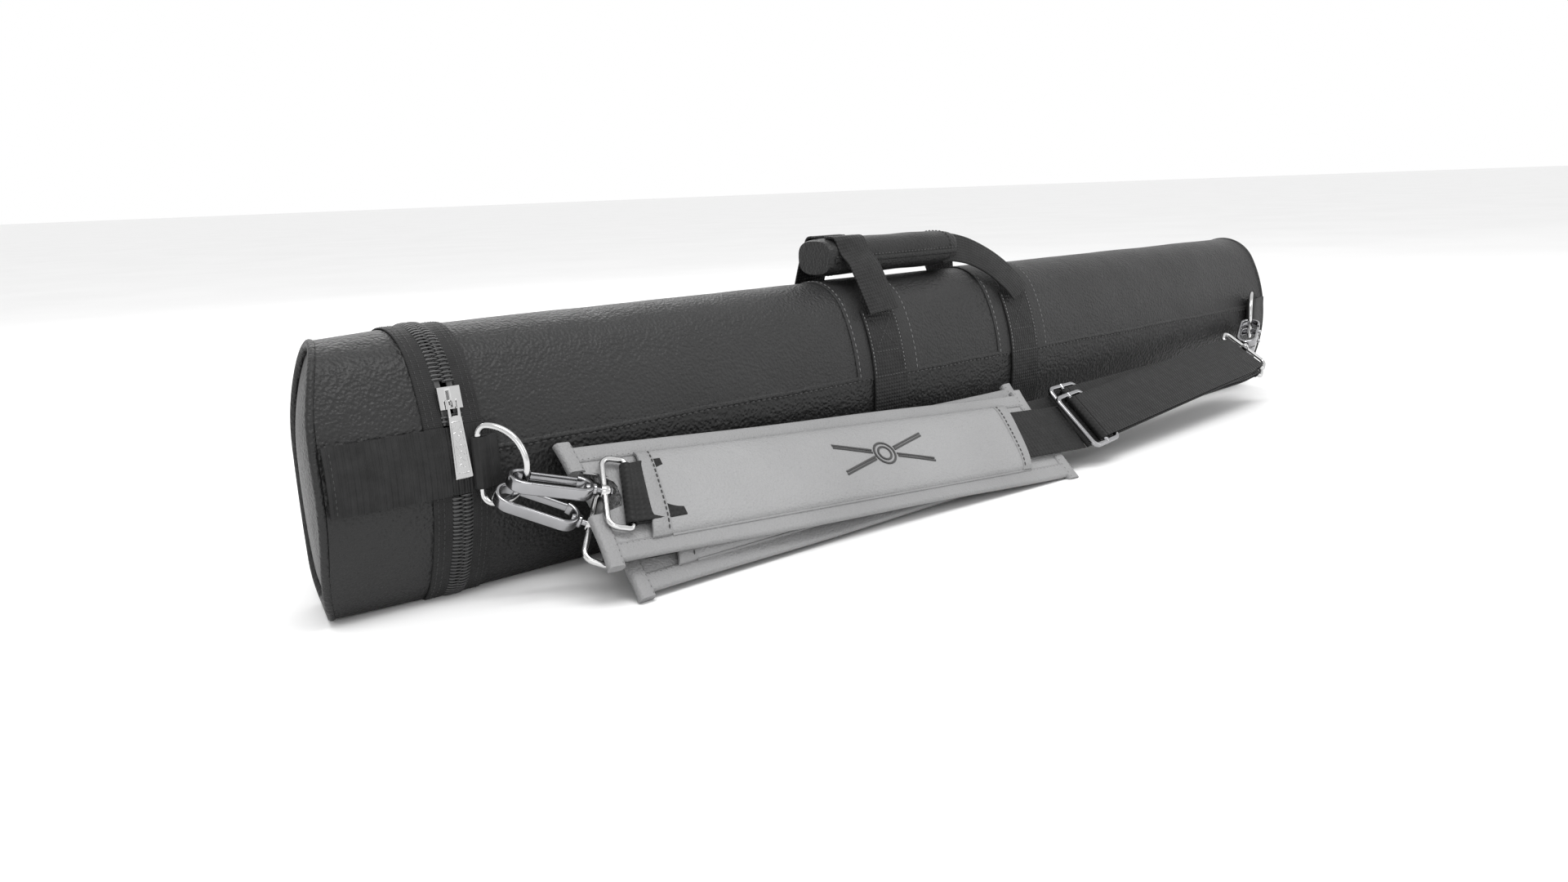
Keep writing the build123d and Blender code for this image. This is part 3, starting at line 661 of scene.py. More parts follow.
def seam_line(run, name):
    """The folded edge of the upper skin, with its stitches just below it."""
    y, z, out_y, out_z = oval_at([run])[0]
    x = sampled(BODY_EDGE + 9, CASE_END, 6.0)
    wobble = 0.25 * np.sin(x / 19.0) + 0.15 * np.sin(x / 7.3)
    out = np.array([0, out_y, out_z])
    up = np.array([0, -out_z, out_y]) * (1 if y > 0 else -1)
    points = places(x, y, z) + np.outer(wobble, up)
    roll = sweep(points + up * 0.9, up, out, circle_section(1.0, 10) * (1.6, 0.75))
    add_piece(f"{name}_seam_fold", [roll], BLACK_VINYL, "case")
    row = stitch_row(points - up * 0.7 + out * 0.05, out, SEAM_STITCH)
    add_piece(f"{name}_seam_stitches", row, DARK_THREAD, "case")


seam_line(near_seam, "near")
seam_line(far_seam, "far")

# ======================= lid =======================
outer = [(x, 0.0) for x in sampled(CASE_START, LID_EDGE, 5.0)]
points, faces = round_oval(
    [(CASE_START, -VINYL)] + outer + [(LID_EDGE, -VINYL)], all_round(), wrap=True, lid=True
)
add_piece("lid_skin", [(settle(points, 0.2), faces)], BLACK_VINYL, "lid", ["lid_cover"])


def reshaped(name, node, material):
    """A CAD node of the lid, pressed in with the lid's soft end."""
    mesh = frame["nodes"][node].data
    points = np.array([vertex.co for vertex in mesh.vertices]) / MM
    points[:, 0] += end_drop(*points.T)
    faces = [tuple(face.vertices) for face in mesh.polygons]
    add_piece(name, [(points, faces)], material, "lid", [node])


reshaped("lid_inner_shell", "lid_shell", BOARD)
reshaped("lid_inner_lining", "lid_lining", LINING)


def piping_roll(name, x, inset, body, node, lid, outward):
    """A soft roll sewn round the rim."""
    radius = 2.1
    middle, out = on_oval(all_round(2.0), x, 0.9 - radius - inset)
    if lid:
        middle[:, 0] += end_drop(*middle.T)
    roll = sweep(middle, X_AXIS, out, circle_section(radius, 12), closed=True)
    lip_middle = middle - outward * X_AXIS * 1.6 - out * 0.9
    lip = sweep(lip_middle, X_AXIS, out, rounded_box(3.0, 1.2, 0.5), closed=True)
    add_piece(name, [roll, lip], BLACK_VINYL, body, [node])
    line = middle - outward * X_AXIS * 1.9 - out * 0.25
    row = stitch_row(line, out, RIM_STITCH)
    add_piece(f"{name}_stitches", row, DARK_THREAD, body)


piping_roll("lid_rim_roll", CASE_START - RIM, LID_TAPER, "lid", "lid_piping", True, -1)
piping_roll("base_rim_roll", CASE_END + RIM, 0.0, "case", "base_piping", False, 1)


def domed_end(name, x, outward, inset, body, node, lid):
    """A padded end, crowned towards its middle."""
    rings = []
    table = oval_at(all_round(3.0))
    for share in np.linspace(0, 0.97, 14):
        rise = 3.6 * (1 - (1 - share) ** 2.4)
        y = (table[:, 0] - (inset + 1.0) * table[:, 2]) * (1 - share)
        z = AXIS + (table[:, 1] - (inset + 1.0) * table[:, 3] - AXIS) * (1 - share)
        ring = np.stack([np.full_like(y, x + outward * rise), y, z], -1)
        if lid:
            ring[:, 0] += end_drop(np.full_like(y, CASE_START), y, z)
        rings.append(ring)
    points, faces = loft(rings, caps=False)
    back = rings[0] - np.array([outward * 1.5, 0, 0])
    skirt = loft([back, rings[0]], caps=False)
    last = len(rings) - 1
    faces.append(tuple(range(last * len(table), (last + 1) * len(table))))
    add_piece(name, [(points, faces), skirt], BLACK_VINYL, body, [node])


domed_end("lid_end_skin", CASE_START - 0.4, -1, LID_TAPER + 3.2, "lid", "lid_end_panel", True)
domed_end("base_end_skin", CASE_END + 0.4, 1, 3.2, "case", "base_panel", False)

# ======================= zip =======================
def zip_band(name, start, end, body, node, lid):
    """One side of the zip's tape, with two rows of stitches."""
    strip = round_oval(band_profile(start, end, 0.05, TAPE, 2.0), all_round(), wrap=True)
    add_piece(name, [strip], TAPE_CLOTH, body, [node])
    outer_edge = start if lid else end
    side = 1 if lid else -1
    rows = []
    for inward in (2.2, 5.2):
        points, normals = on_oval(np.append(all_round(), ROUND), outer_edge + side * inward, TAPE)
        rows += stitch_row(points, normals, TAPE_STITCH)
    add_piece(f"{name}_stitches", rows, DARK_THREAD, body)


zip_band("lid_tape_band", ZIP_X - TAPE_END, ZIP_X - TAPE_START, "lid", "lid_zip_tape", True)
zip_band("case_tape_band", ZIP_X + TAPE_START, ZIP_X + TAPE_END, "case", "case_zip_tape", False)

def coil_half(name, side, body, node):
    """Nylon coil: one bent loop for each tooth."""
    parts = []
    section = circle_section(0.52, 6)
    upper_half = [(5.3, 0.55), (3.6, 1.35), (1.4, 1.55), (-0.35, 1.0)]
    lower_half = [(-0.35, -0.2), (1.4, -0.8), (3.6, -0.7), (5.3, 0.1)]
    shape = np.array(upper_half + lower_half)
    low, high = near_run(RIBBON_LOW), near_run(RIBBON_HIGH)
    parked = near_run(SLIDER_HEIGHT)
    count = int(ROUND / TOOTH_PITCH)
    for k in range(count):
        run = (k + (0.5 if side > 0 else 0)) * ROUND / count
        if low - 1 < run < high + 1 or abs(run - parked) < SLIDER_HALF:
            continue
        centre, out = [rows[0] for rows in on_oval([run], ZIP_X)]
        ahead = np.cross(X_AXIS, out)
        path = centre + np.outer(shape[:, 0] * side, X_AXIS) + np.outer(shape[:, 1], out)
        path = path + np.outer(np.linspace(-0.3, 0.3, len(shape)), ahead)
        parts.append(sweep(path, ahead, unit(np.cross(tangents(path), ahead)), section))
    core_middle = ZIP_X + side * 3.2
    core = round_oval(
        band_profile(core_middle - 1.6, core_middle + 1.6, -0.5, 0.35, 2.0),
        np.concatenate((sampled(high + 1, ROUND, 3.0), ROUND + sampled(3, low - 1, 3.0))),
    )
    add_piece(name, parts + [core], COIL, body, [node], sharp=70)


coil_half("lid_coil_teeth", -1, "lid", "lid_zip_coil")
coil_half("case_coil_teeth", 1, "case", "case_zip_coil")

# ---- ribbon over the zip: it is the hinge of the lid ----
def ribbed_profile(start, end, low, high, pitch=1.5, depth=0.3):
    """A strip's outline with ribs across its top."""
    x = sampled(start, end, pitch / 5)
    top = high - depth * (0.5 - 0.5 * np.cos(2 * pi * (x - start) / pitch))
    return [(start, low)] + list(zip(x, top)) + [(end, low)]


ribbon_end = JOINT["lid_ring_swing"]["pos_m"][0] / MM + 12
strip = round_oval(
    ribbed_profile(CASE_START + 1, ribbon_end, TAPE + 0.05, RIBBON_TOP),
    sampled(near_run(RIBBON_LOW), near_run(RIBBON_HIGH), 2.5),
)
points = np.array(strip[0])
points[:, 1] += RIBBON_SINK * np.clip((LID_EDGE - points[:, 0]) / 60, 0, 1)
ribbon = add_piece(
    "hinge_ribbon",
    [(points, strip[1])],
    RIBBON,
    None,
    ["lid_ribbon", "case_ribbon"],
    cloth=places(points[:, 2], points[:, 0], 0),
)
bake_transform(ribbon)
for x_place, body in ((CASE_START + 4, "lid"), (ribbon_end - 4, "case")):
    runs = sampled(near_run(RIBBON_LOW + 1), near_run(RIBBON_HIGH - 1), 3.0)
    line, normals = on_oval(runs, x_place, RIBBON_TOP - (RIBBON_SINK if body == "lid" else 0))
    row = stitch_row(line, normals, RIBBON_STITCH)
    add_piece(f"{body}_ribbon_stitches", row, DARK_THREAD, body)

# ---- pull of the zip's slider ----
pull_box = np.array(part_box("zip_pull")) / MM
pull_top = np.array(JOINT["zip_pull_lift"]["pos_m"]) / MM
pull_foot = np.array([pull_top[0], pull_box[0][1] + 0.8, pull_box[0][2]])
pull_down = unit(pull_foot - pull_top)
pull_out = unit(np.cross(pull_down, X_AXIS))
if pull_out[1] > 0:
    pull_out = -pull_out
pull_frame = (pull_top, X_AXIS, pull_down, pull_out)


def plate(outline, low, high, soft):
    """A flat plate with softened edges, from an outline of (across, down)."""
    outline = np.asarray(outline, float)
    middle = outline.mean(0)
    rings = []
    for rise, shrink in ((low, soft), (low + soft, 0), (high - soft, 0), (high, soft)):
        towards = middle - outline
        length = np.linalg.norm(towards, axis=1, keepdims=True)
        moved = outline + towards / length * shrink
        rings.append(local(pull_frame, places(*moved.T, rise)))
    return loft(rings)


pull_length = np.linalg.norm(pull_foot - pull_top)
body_outline = filleted(
    [(-3.3, 7.5), (3.3, 7.5), (4.5, pull_length - 0.3), (-4.5, pull_length - 0.3)],
    [1.0, 1.0, 0.5, 0.5],
)
pull_parts = [plate(body_outline, -0.9, 0.9, 0.35)]
for side in (-1, 1):
    prong = filleted(
        [(side * 2.1, -0.4), (side * 3.1, -0.4), (side * 3.2, 9), (side * 1.6, 9)], [0.3] * 4, 3
    )
    pull_parts.append(plate(prong, -0.7, 0.7, 0.25))
pull_parts.append(lathe([(-2.8, 0.6), (2.8, 0.6)], pull_top, (1, 0, 0), 12))
frame_line = filleted(
    [(-2.5, 10.5), (2.5, 10.5), (3.4, pull_length - 3), (-3.4, pull_length - 3)], [1.2] * 4
)
raised = (pull_top + pull_out * 0.9, *pull_frame[1:])
pull_parts.append(flat_wire(frame_line, raised, circle_section(0.28, 6), closed=True))
for row in range(7):
    x = np.linspace(-2.0, 2.0, 12)
    curl = np.column_stack([x, 13.5 + row * 3.1 + 0.9 * np.sin(x * 1.9 + row)])
    pull_parts.append(flat_wire(curl, raised, circle_section(0.24, 6)))
add_piece("zip_pull_plate", pull_parts, CHROME, "zip_pull", ["zip_pull"])

# ======================= carry handle =======================
def strap_line(far, first_height, first_x, last_height, last_x):
    """A straight line over the sewn webbing of one side, and its normals."""
    shares = np.linspace(0, 1, 12)
    runs = np.array([near_run(first_height + (last_height - first_height) * share) for share in shares])
    line, normals = on_oval(ROUND - runs if far else runs, 0.0, TAPE + WEBBING)
    line[:, 0] = first_x + (last_x - first_x) * shares
    return line, normals


for leg, name in zip(LEGS, ("front", "rear")):
    band = round_oval(
        band_profile(leg - BAND_HALF, leg + BAND_HALF, 0.02, TAPE, 4.0),
        sampled(near_seam, far_seam, ROUND_STEP),
    )
    add_piece(f"{name}_band_skin", [band], BAND_VINYL, "case", [f"{name}_handle_band"])
    rows = []
    for side in (-1, 1):
        runs = sampled(near_seam + 1, far_seam - 1, ROUND_STEP)
        line, normals = on_oval(runs, leg + side * 26.5, TAPE)
        rows += stitch_row(line, normals, BAND_STITCH)
    add_piece(f"{name}_band_stitches", rows, PALE_THREAD, "case")

    # the sewn webbing on both sides, with a crossed box of stitches
    parts = []
    cloth = []
    edge_rows = []
    cross_rows = []
    for far in (False, True):
        runs = sampled(near_run(SEWN_LOW), near_run(SEWN_HIGH), ROUND_STEP)
        if far:
            runs = ROUND - runs
        left, right = leg - HANDLE_WEBBING_HALF, leg + HANDLE_WEBBING_HALF
        points, faces = round_oval(band_profile(left, right, TAPE, TAPE + WEBBING, 3.0), runs)
        parts.append((points, faces))
        cloth.append(places(points[:, 0], points[:, 2], 0))
        for side in (-1, 1):
            edge = (SEAM + 2, leg + side * 13.6, SEWN_HIGH - 1, leg + side * 13.6)
            edge_rows += stitch_row(*strap_line(far, *edge), EDGE_STITCH)
        for ends in (
            (49, leg - 11, 49, leg + 11),
            (26, leg - 11, 26, leg + 11),
            (48, leg - 10, 27, leg + 10),
            (48, leg + 10, 27, leg - 10),
            (SEAM + 0.5, left, SEAM + 0.5, right),
        ):
            cross_rows += stitch_row(*strap_line(far, *ends), CROSS_STITCH)
    add_piece(
        f"{name}_strap_sewn",
        parts,
        HANDLE_CLOTH,
        "case",
        [f"{name}_handle_strap"],
        cloth=np.concatenate(cloth),
    )
    add_piece(f"{name}_strap_edge_stitches", edge_rows, PALE_THREAD, "case")
    add_piece(f"{name}_strap_cross_stitches", cross_rows, DARK_THREAD, "case")

# ---- grip: a padded sleeve wrapped round the webbing ----
grip_low, grip_high = np.array(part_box("handle_grip")) / MM
grip_middle = (grip_low + grip_high) / 2
grip_half = (grip_high - grip_low) / 2


def grip_ring(x, swell, turns, lift=0.0):
    """The grip's rounded rectangular outline at this X."""
    y = (grip_half[1] + lift) * swell * np.sign(np.cos(turns)) * np.abs(np.cos(turns)) ** GRIP_POWER
    z = (grip_half[2] + lift) * swell * np.sign(np.sin(turns)) * np.abs(np.sin(turns)) ** GRIP_POWER
    return places(x, grip_middle[1] + y, grip_middle[2] + z)


rings = []
hem = 0.06
grip_shares = (np.linspace(0, hem, 5), np.linspace(2 * hem, 1 - 2 * hem, 15), np.linspace(1 - hem, 1, 5))
for share in np.concatenate(grip_shares):
    edge = min(min(share, 1 - share) / hem, 1.0)
    swell = 0.90 + 0.10 * sqrt(edge) + 0.015 * sin(share * 19)
    turns = np.linspace(0, 2 * pi, 44, endpoint=False)
    rings.append(grip_ring(grip_low[0] + share * 2 * grip_half[0], swell, turns))
grip = add_piece("grip_skin", [loft(rings)], GRIP_CLOTH, "handle", ["handle_grip"])
flap_x = sampled(grip_low[0] + 3, grip_high[0] - 3, 4.0)
flap = places(flap_x, -grip_half[1] - 0.1, grip_middle[2] - 2.0)
roll = sweep(flap, Z_AXIS, -Y_AXIS, circle_section(1.0, 8) * (1.8, 0.7))
add_piece("grip_flap_edge", [roll], GRIP_CLOTH, "handle")
row = stitch_row(flap + np.array([0, -0.35, 2.6]), -Y_AXIS, GRIP_STITCH)
add_piece("grip_stitches", row, DARK_THREAD, "handle")
row = []
for x in (grip_low[0] + 8, grip_high[0] - 8):
    line = grip_ring(x, 1.0, np.linspace(0, 2 * pi, 60), lift=0.1)
    from_middle = line - (x, grip_middle[1], grip_middle[2])
    row += stitch_row(line, from_middle / (1, grip_half[1] ** 2, grip_half[2] ** 2), GRIP_END_STITCH)
add_piece("grip_end_stitches", row, DARK_THREAD, "handle")


def smooth_line(knots, count):
    """A smooth curve through a few knots."""
    knots = np.asarray(knots, float)
    extended = np.vstack([2 * knots[0] - knots[1], knots, 2 * knots[-1] - knots[-2]])
    rows = []
    for i in range(1, len(extended) - 2):
        p0, p1, p2, p3 = extended[i - 1 : i + 3]
        for t in np.linspace(0, 1, count, endpoint=False):
            rows.append(
                0.5
                * (
                    2 * p1
                    + (p2 - p0) * t
                    + (2 * p0 - 5 * p1 + 4 * p2 - p3) * t**2
                    + (3 * p1 - p0 - 3 * p2 + p3) * t**3
                )
            )
    rows.append(knots[-1])
    return np.array(rows)


def webbing_strip(centres, across, normals, width, thickness, closed=False):
    """Webbing with soft edges, and the cloth coordinates of its points."""
    centres = np.asarray(centres, float)
    section = rounded_box(width, thickness, thickness * 0.42, 2)
    crown = np.where(section[:, 1] > 0, 0.12, 0.0) * (1 - (2 * section[:, 0] / width) ** 2)
    section = section + np.stack([np.zeros(len(section)), crown], -1)
    points, faces = sweep(centres, unit(across), unit(normals), section, closed)
    along = np.repeat(run_along(centres), len(section))
    return (points, faces), places(np.tile(section[:, 0], len(centres)), along, 0)


def leg_webbing(side, knots, top_across, width):
    """A free length of the handle's webbing, from the sewn end up to the grip."""
    line = smooth_line(knots, 8)
    ahead = tangents(line)
    share = np.linspace(0, 1, len(line))[:, None]
    across = (1 - share) * X_AXIS + share * np.array(top_across)
    across = unit(across - (across * ahead).sum(1, keepdims=True) * ahead)
    normals = np.cross(ahead, across)
    if normals[0] @ np.array([0, side, 0.4]) < 0:
        normals = -normals
    return webbing_strip(line, across, normals, width, WEBBING)


for side, name, node in ((-1, "near", "near_handle_legs"), (1, "far", "far_handle_legs")):
    sewn_top = (side * 38.6, AXIS + SEWN_HIGH)
    front_knots = [
        (LEGS[0], *sewn_top),
        (LEGS[0] - 1, side * 34.0, AXIS + 62),
        (LEGS[0] - 3, side * 25.0, grip_middle[2] - 6),
        (LEGS[0] - 5, side * (grip_half[1] + 0.9), grip_middle[2] + 3),
        (LEGS[0] - 6, side * (grip_half[1] - 4.0), grip_high[2] + 0.2),
        (LEGS[0] - 6, side * 4.0, grip_high[2] + 0.9),
    ]
    rear_knots = [
        (LEGS[1] + 1, *sewn_top),
        (LEGS[1] - 4, side * 33.5, AXIS + 61),
        (LEGS[1] - 16, side * 25.0, grip_middle[2] - 13),
        (LEGS[1] - 30, side * 17.0, grip_middle[2] - 4),
        (LEGS[1] - 44, side * 11.5, grip_middle[2]),
        (LEGS[1] - 54, side * 8.0, grip_middle[2]),
    ]
    front_part, front_cloth = leg_webbing(side, front_knots, X_AXIS, 27.0)
    rear_part, rear_cloth = leg_webbing(side, rear_knots, (0.25, -side * 0.45, 0.8), 24.0)
    add_piece(
        f"{name}_leg_webbing",
        [front_part, rear_part],
        HANDLE_CLOTH,
        "handle",
        [node],
        cloth=np.concatenate([front_cloth, rear_cloth]),
    )

# ======================= rings and their tabs =======================
def ring_and_tab(end, turn, root_length):
    """A welded D-ring, and the folded webbing that holds its straight bar."""
    joint = JOINT[f"{end}_ring_swing"]
    bar = np.array(joint["pos_m"]) / MM
    level = np.array([cos(radians(turn)), sin(radians(turn)), 0])
    corner = RING_HALF - RING_NECK
    bow_turns = np.radians(np.arange(-90, 91, 5))
    bow = np.column_stack([RING_NECK + RING_HALF * np.cos(bow_turns), RING_HALF * np.sin(bow_turns)])
    corner_turns = np.radians(np.arange(10, 91, 10))
    top = np.column_stack(
        [RING_NECK * (1 - np.sin(corner_turns)), corner + RING_NECK * np.cos(corner_turns)]
    )
    middle = [(0, y) for y in np.linspace(corner - 3, -corner + 3, 9)]
    path = np.concatenate([bow, top, middle, top[::-1] * (1, -1)])
    frame3 = (bar, level, Z_AXIS, np.cross(level, Z_AXIS))
    wire = flat_wire(path, frame3, circle_section(WIRE, 14), closed=True)
    add_piece(f"{end}_d_ring", [wire], CHROME, f"{end}_ring", [f"{end}_end_ring"])

    tab_box = np.array(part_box(f"{end}_ring_tab")) / MM
    side = 1 if tab_box[:, 0].mean() > bar[0] else -1
    radius = WIRE + RING_PLAY + TAB_WALL / 2
    turns = np.radians(np.linspace(90, 270, 17))
    loop = [(bar[0] + side * radius * cos(t), bar[1] + radius * sin(t)) for t in turns]
    far_x = bar[0] + side * root_length
    back_y = bar[1] + radius
    front_y = bar[1] - radius
    lead = [(x, back_y - 0.2) for x in np.linspace(far_x, bar[0], 9)][:-1]
    shares = np.linspace(0, 1, 10)[1:]
    tail = [
        (bar[0] + side * root_length * share, front_y + (back_y - 1.5 - front_y) * eased(share))
        for share in shares
    ]
    line = np.array([(x, y, bar[2] + 1) for x, y in lead + loop + tail])
    run_dir = tangents(line)
    part, cloth = webbing_strip(line, Z_AXIS, np.cross(run_dir, Z_AXIS), TAB_WIDTH, TAB_CLOTH)
    add_piece(
        f"{end}_tab_webbing", [part], RIBBON, "case", [f"{end}_ring_tab"], cloth=cloth
    )
    line = places(far_x - side * 3.0, back_y - 2.2, sampled(bar[2] - 11, bar[2] + 13, 3.0))
    row = stitch_row(line, -Y_AXIS, TAB_STITCH)
    add_piece(f"{end}_tab_stitches", row, DARK_THREAD, "case")


ring_and_tab("lid", -53.0, 10.0)
ring_and_tab("base", -153.0, 25.0)

# ======================= shoulder straps =======================
def hook(strap, end, normal):
    """A swivel hook: the claw, its gate, and the wire eye that the webbing goes round."""
    clip = np.array(JOINT[f"{strap}_{end}_swivel"]["pos_m"]) / MM
    ahead = unit(JOINT[f"{strap}_{end}_swivel"]["axis"])
    band = unit(JOINT[f"{strap}_{end}_gate_open"]["axis"])
    side = np.cross(band, ahead)
    frame3 = (clip, ahead, side, band)
    radius = CLAW_HALF - CLAW_WALL / 2
    right = CLAW_LENGTH - CLAW_SLACK - CLAW_WALL - CLAW_HALF
    left = CLAW_HALF - CLAW_SLACK - CLAW_WALL
    rows = [(right + radius * cos(a), radius * sin(a)) for a in np.radians(np.linspace(78, -90, 22))]
    rows += [(x, -radius) for x in np.linspace(right, left, 12)[1:-1]]
    rows += [(left + radius * cos(a), radius * sin(a)) for a in np.radians(np.linspace(-90, -270, 22))]
    rows.append((GATE_START - 0.4, radius))
    claw = flat_wire(rows, frame3, rounded_box(CLAW_WALL, CLAW_BAND, 1.0, 3))
    post = CLAW_LENGTH - CLAW_SLACK - CLAW_WALL
    near = HOOK_REACH - EYE_DEPTH
    knuckle = lathe(
        [(post - 4.5, 0.4), (post - 4.2, 2.6), (post - 1.5, 3.2), (post + 0.6, 3.4), (post + 1.3, 2.9)],
        clip,
        ahead,
    )
    stem = lathe([(post, 1.55), (near + 2.6, 1.55)], clip, ahead)
    head = lathe(
        [(near + 2.6, 2.2), (near + 2.8, 2.6), (near + 3.5, 2.5), (near + 4.0, 1.6), (near + 4.1, 0.2)],
        clip,
        ahead,
    )
    claw_name = f"{strap}_{end}_claw"
    claw_parts = [claw, knuckle, stem, head]
    add_piece(f"{claw_name}_body", claw_parts, NICKEL, claw_name, [claw_name])
    bar = [(x, radius) for x in sampled(GATE_START + 0.2, GATE_END, 3.0)]
    gate = flat_wire(bar, frame3, rounded_box(2.1, 4.4, 0.7, 3))
    thumb = lathe(
        [(radius + 0.6, 1.5), (radius + 2.2, 1.7), (radius + 3.0, 1.5), (radius + 3.4, 0.6)],
        clip + ahead * (GATE_START + 6),
        side,
    )
    gate_name = f"{strap}_{end}_gate"
    add_piece(f"{gate_name}_bar", [gate, thumb], NICKEL, gate_name, [gate_name])
    half = STRAP_WIDTH / 2 + EYE_WIRE + EYE_PLAY
    across = np.cross(normal, ahead)
    eye_frame = (clip, ahead, across, normal)
    outline = filleted(
        [(near, half), (HOOK_REACH, half), (HOOK_REACH, -half), (near, -half)], [5.5, 2.2, 2.2, 5.5]
    )
    loop = flat_wire(outline, eye_frame, circle_section(EYE_WIRE, 12), closed=True)
    outer_half = [(1.6, 3.3), (2.2, 2.9), (2.2, 1.7)]
    barrel_outline = [(near - x, r) for x, r in reversed(outer_half)]
    barrel_outline += [(near + x, r) for x, r in outer_half]
    barrel = lathe(barrel_outline, clip, ahead)
    eye_name = f"{strap}_{end}_eye"
    add_piece(f"{eye_name}_loop", [loop, barrel], CHROME, f"{strap}_strap", [eye_name])
    return clip


def long_strip(start, end, normal, width, start_across=None, end_across=None, rises=None, turn_in=30.0):
    """A flat run of webbing that lies square to a bar at each end."""
    length = np.linalg.norm(end - start)
    share = sampled(0, 1, 6.0 / length)[:, None]
    straight = unit(np.cross(normal, unit(end - start)))
    across = straight
    if start_across is not None:
        near_start = np.clip(1 - share * length / turn_in, 0, 1)
        across = across + eased(near_start) * (start_across - straight)
    if end_across is not None:
        near_end = np.clip(1 - (1 - share) * length / turn_in, 0, 1)
        across = across + eased(near_end) * (end_across - straight)
    centres = start + (end - start) * share
    if rises is not None:
        centres = centres + np.interp(share, *rises) * normal
    across = np.broadcast_to(across, centres.shape)
    normals = unit(np.cross(tangents(centres), unit(across)))
    normals = np.where((normals @ normal)[:, None] < 0, -normals, normals)
    return webbing_strip(centres, across, normals, width, WEBBING)


def fold_round(centre, across, normal, width):
    """Webbing wrapped round a bar."""
    ahead = np.cross(across, normal)
    turns = np.linspace(0, 2 * pi, 28, endpoint=False)
    normals = np.cos(turns)[:, None] * ahead + np.sin(turns)[:, None] * normal
    return webbing_strip(centre + BAR_FOLD * normals, across, normals, width, WEBBING, True)


HALF_PAD = PAD_LENGTH / 2
HALF_PAD_WIDTH = PAD_WIDTH / 2
PAD_MIDDLE = (PAD_TOP + PAD_BACK) / 2 + 0.1
HALF_SLEEVE = SLEEVE_LENGTH / 2
SLEEVE_SPAN = HALF_PAD_WIDTH - 8.5
SLEEVE_CROWN = 6.4
SLEEVE_SLANT = 6.0
HEM_LIFT = 0.75


def pad_stitches(frame3, line):
    """Stitches over the pad's top, along a line of (along, across, height)."""
    return stitch_row(local(frame3, line), frame3[3], PAD_STITCH)


def pad_core(strap, frame3, hook_line):
    """The foam panel: a crowned slab that thins towards its edges, with room for the hook."""
    rings = []
    for t in sampled(-HALF_PAD + 2, HALF_PAD - 2, 5.0):
        top = []
        back = []
        for v in np.linspace(-HALF_PAD_WIDTH + 2, HALF_PAD_WIDTH - 2, 19):
            soft = 1 - np.exp(-min(HALF_PAD - abs(t), HALF_PAD_WIDTH - abs(v)) / 3.0)
            ripple = 0.25 * noise.noise(Vector((t / 22.0, v / 14.0, 3.0)))
            hook_t, beside = hook_line(t, v)
            clear_t = t
            if t < hook_t + 49 and beside < 12.0:
                clear_t = max(t, hook_t + 50 - 4.0 * (beside / 12.0) ** 4)
            top.append((clear_t, v, PAD_TOP - 0.7 * (1 - soft) + ripple * soft - 0.15))
            back.append((clear_t, v, PAD_BACK + 0.6 * (1 - soft) - 0.5 * soft + ripple))
        rings.append(top + back[::-1])
    core = loft(local(frame3, np.array(rings)))
    body = f"{strap}_pad"
    pad = add_piece(f"{body}_core", [core], GREY_VINYL, body, [f"{strap}_strap_pad"])


def pad_bindings(strap, frame3, hook_middle):
    """The rolled edges of the pad, with a row of stitches inside each."""
    origin, ahead, up, normal = frame3
    body = f"{strap}_pad"
    stitches = []
    parts = []
    for side in (-1, 1):
        t = sampled(-HALF_PAD + 1, HALF_PAD - 1, 8.0)
        v = side * (HALF_PAD_WIDTH - 5.2) + 0.35 * np.sin(t / 31.0)
        line = local(frame3, places(t, v, PAD_MIDDLE))
        parts.append(sweep(line, up, normal, rounded_box(10.5, 4.4, 1.9, 4)))
        stitches += pad_stitches(frame3, places(t, v - side * 3.4, PAD_TOP + 0.25))
    add_piece(f"{body}_side_binding", parts, TRIM_VINYL, body)
    parts = []
    tip = HALF_PAD_WIDTH + 3.0
    for side in (-1, 1):
        spans = [(-tip, tip)]
        if side < 0:
            spans = [(-tip, hook_middle - 13.5), (hook_middle + 13.5, tip)]
        for first, last in spans:
            v = sampled(first, last, 5.0)
            t = side * (HALF_PAD - 4.2) + side * 1.2 * np.abs(v / HALF_PAD_WIDTH) ** 4
            line = local(frame3, places(t, v, PAD_MIDDLE))
            parts.append(sweep(line, ahead, normal, rounded_box(9.5, 5.6, 2.4, 4)))
            stitches += pad_stitches(frame3, places(t - side * 3.0, v, PAD_TOP + 0.75))
    add_piece(f"{body}_end_binding", parts, TRIM_VINYL, body)
    return stitches


def on_sleeve(t, v, lift=0.0):
    """A place on the sleeve's crowned top, whose ends are cut at a slant."""
    share = np.clip(np.abs(v / SLEEVE_SPAN), 0, 1)
    rise = SLEEVE_CROWN * (1 - share**3.2) ** (1 / 2.6)
    near_end = np.clip((np.abs(t) / HALF_SLEEVE - 0.75) / 0.25, 0, 1)
    return places(t + SLEEVE_SLANT * v / SLEEVE_SPAN * near_end, v, PAD_TOP - 0.3 + rise + lift)


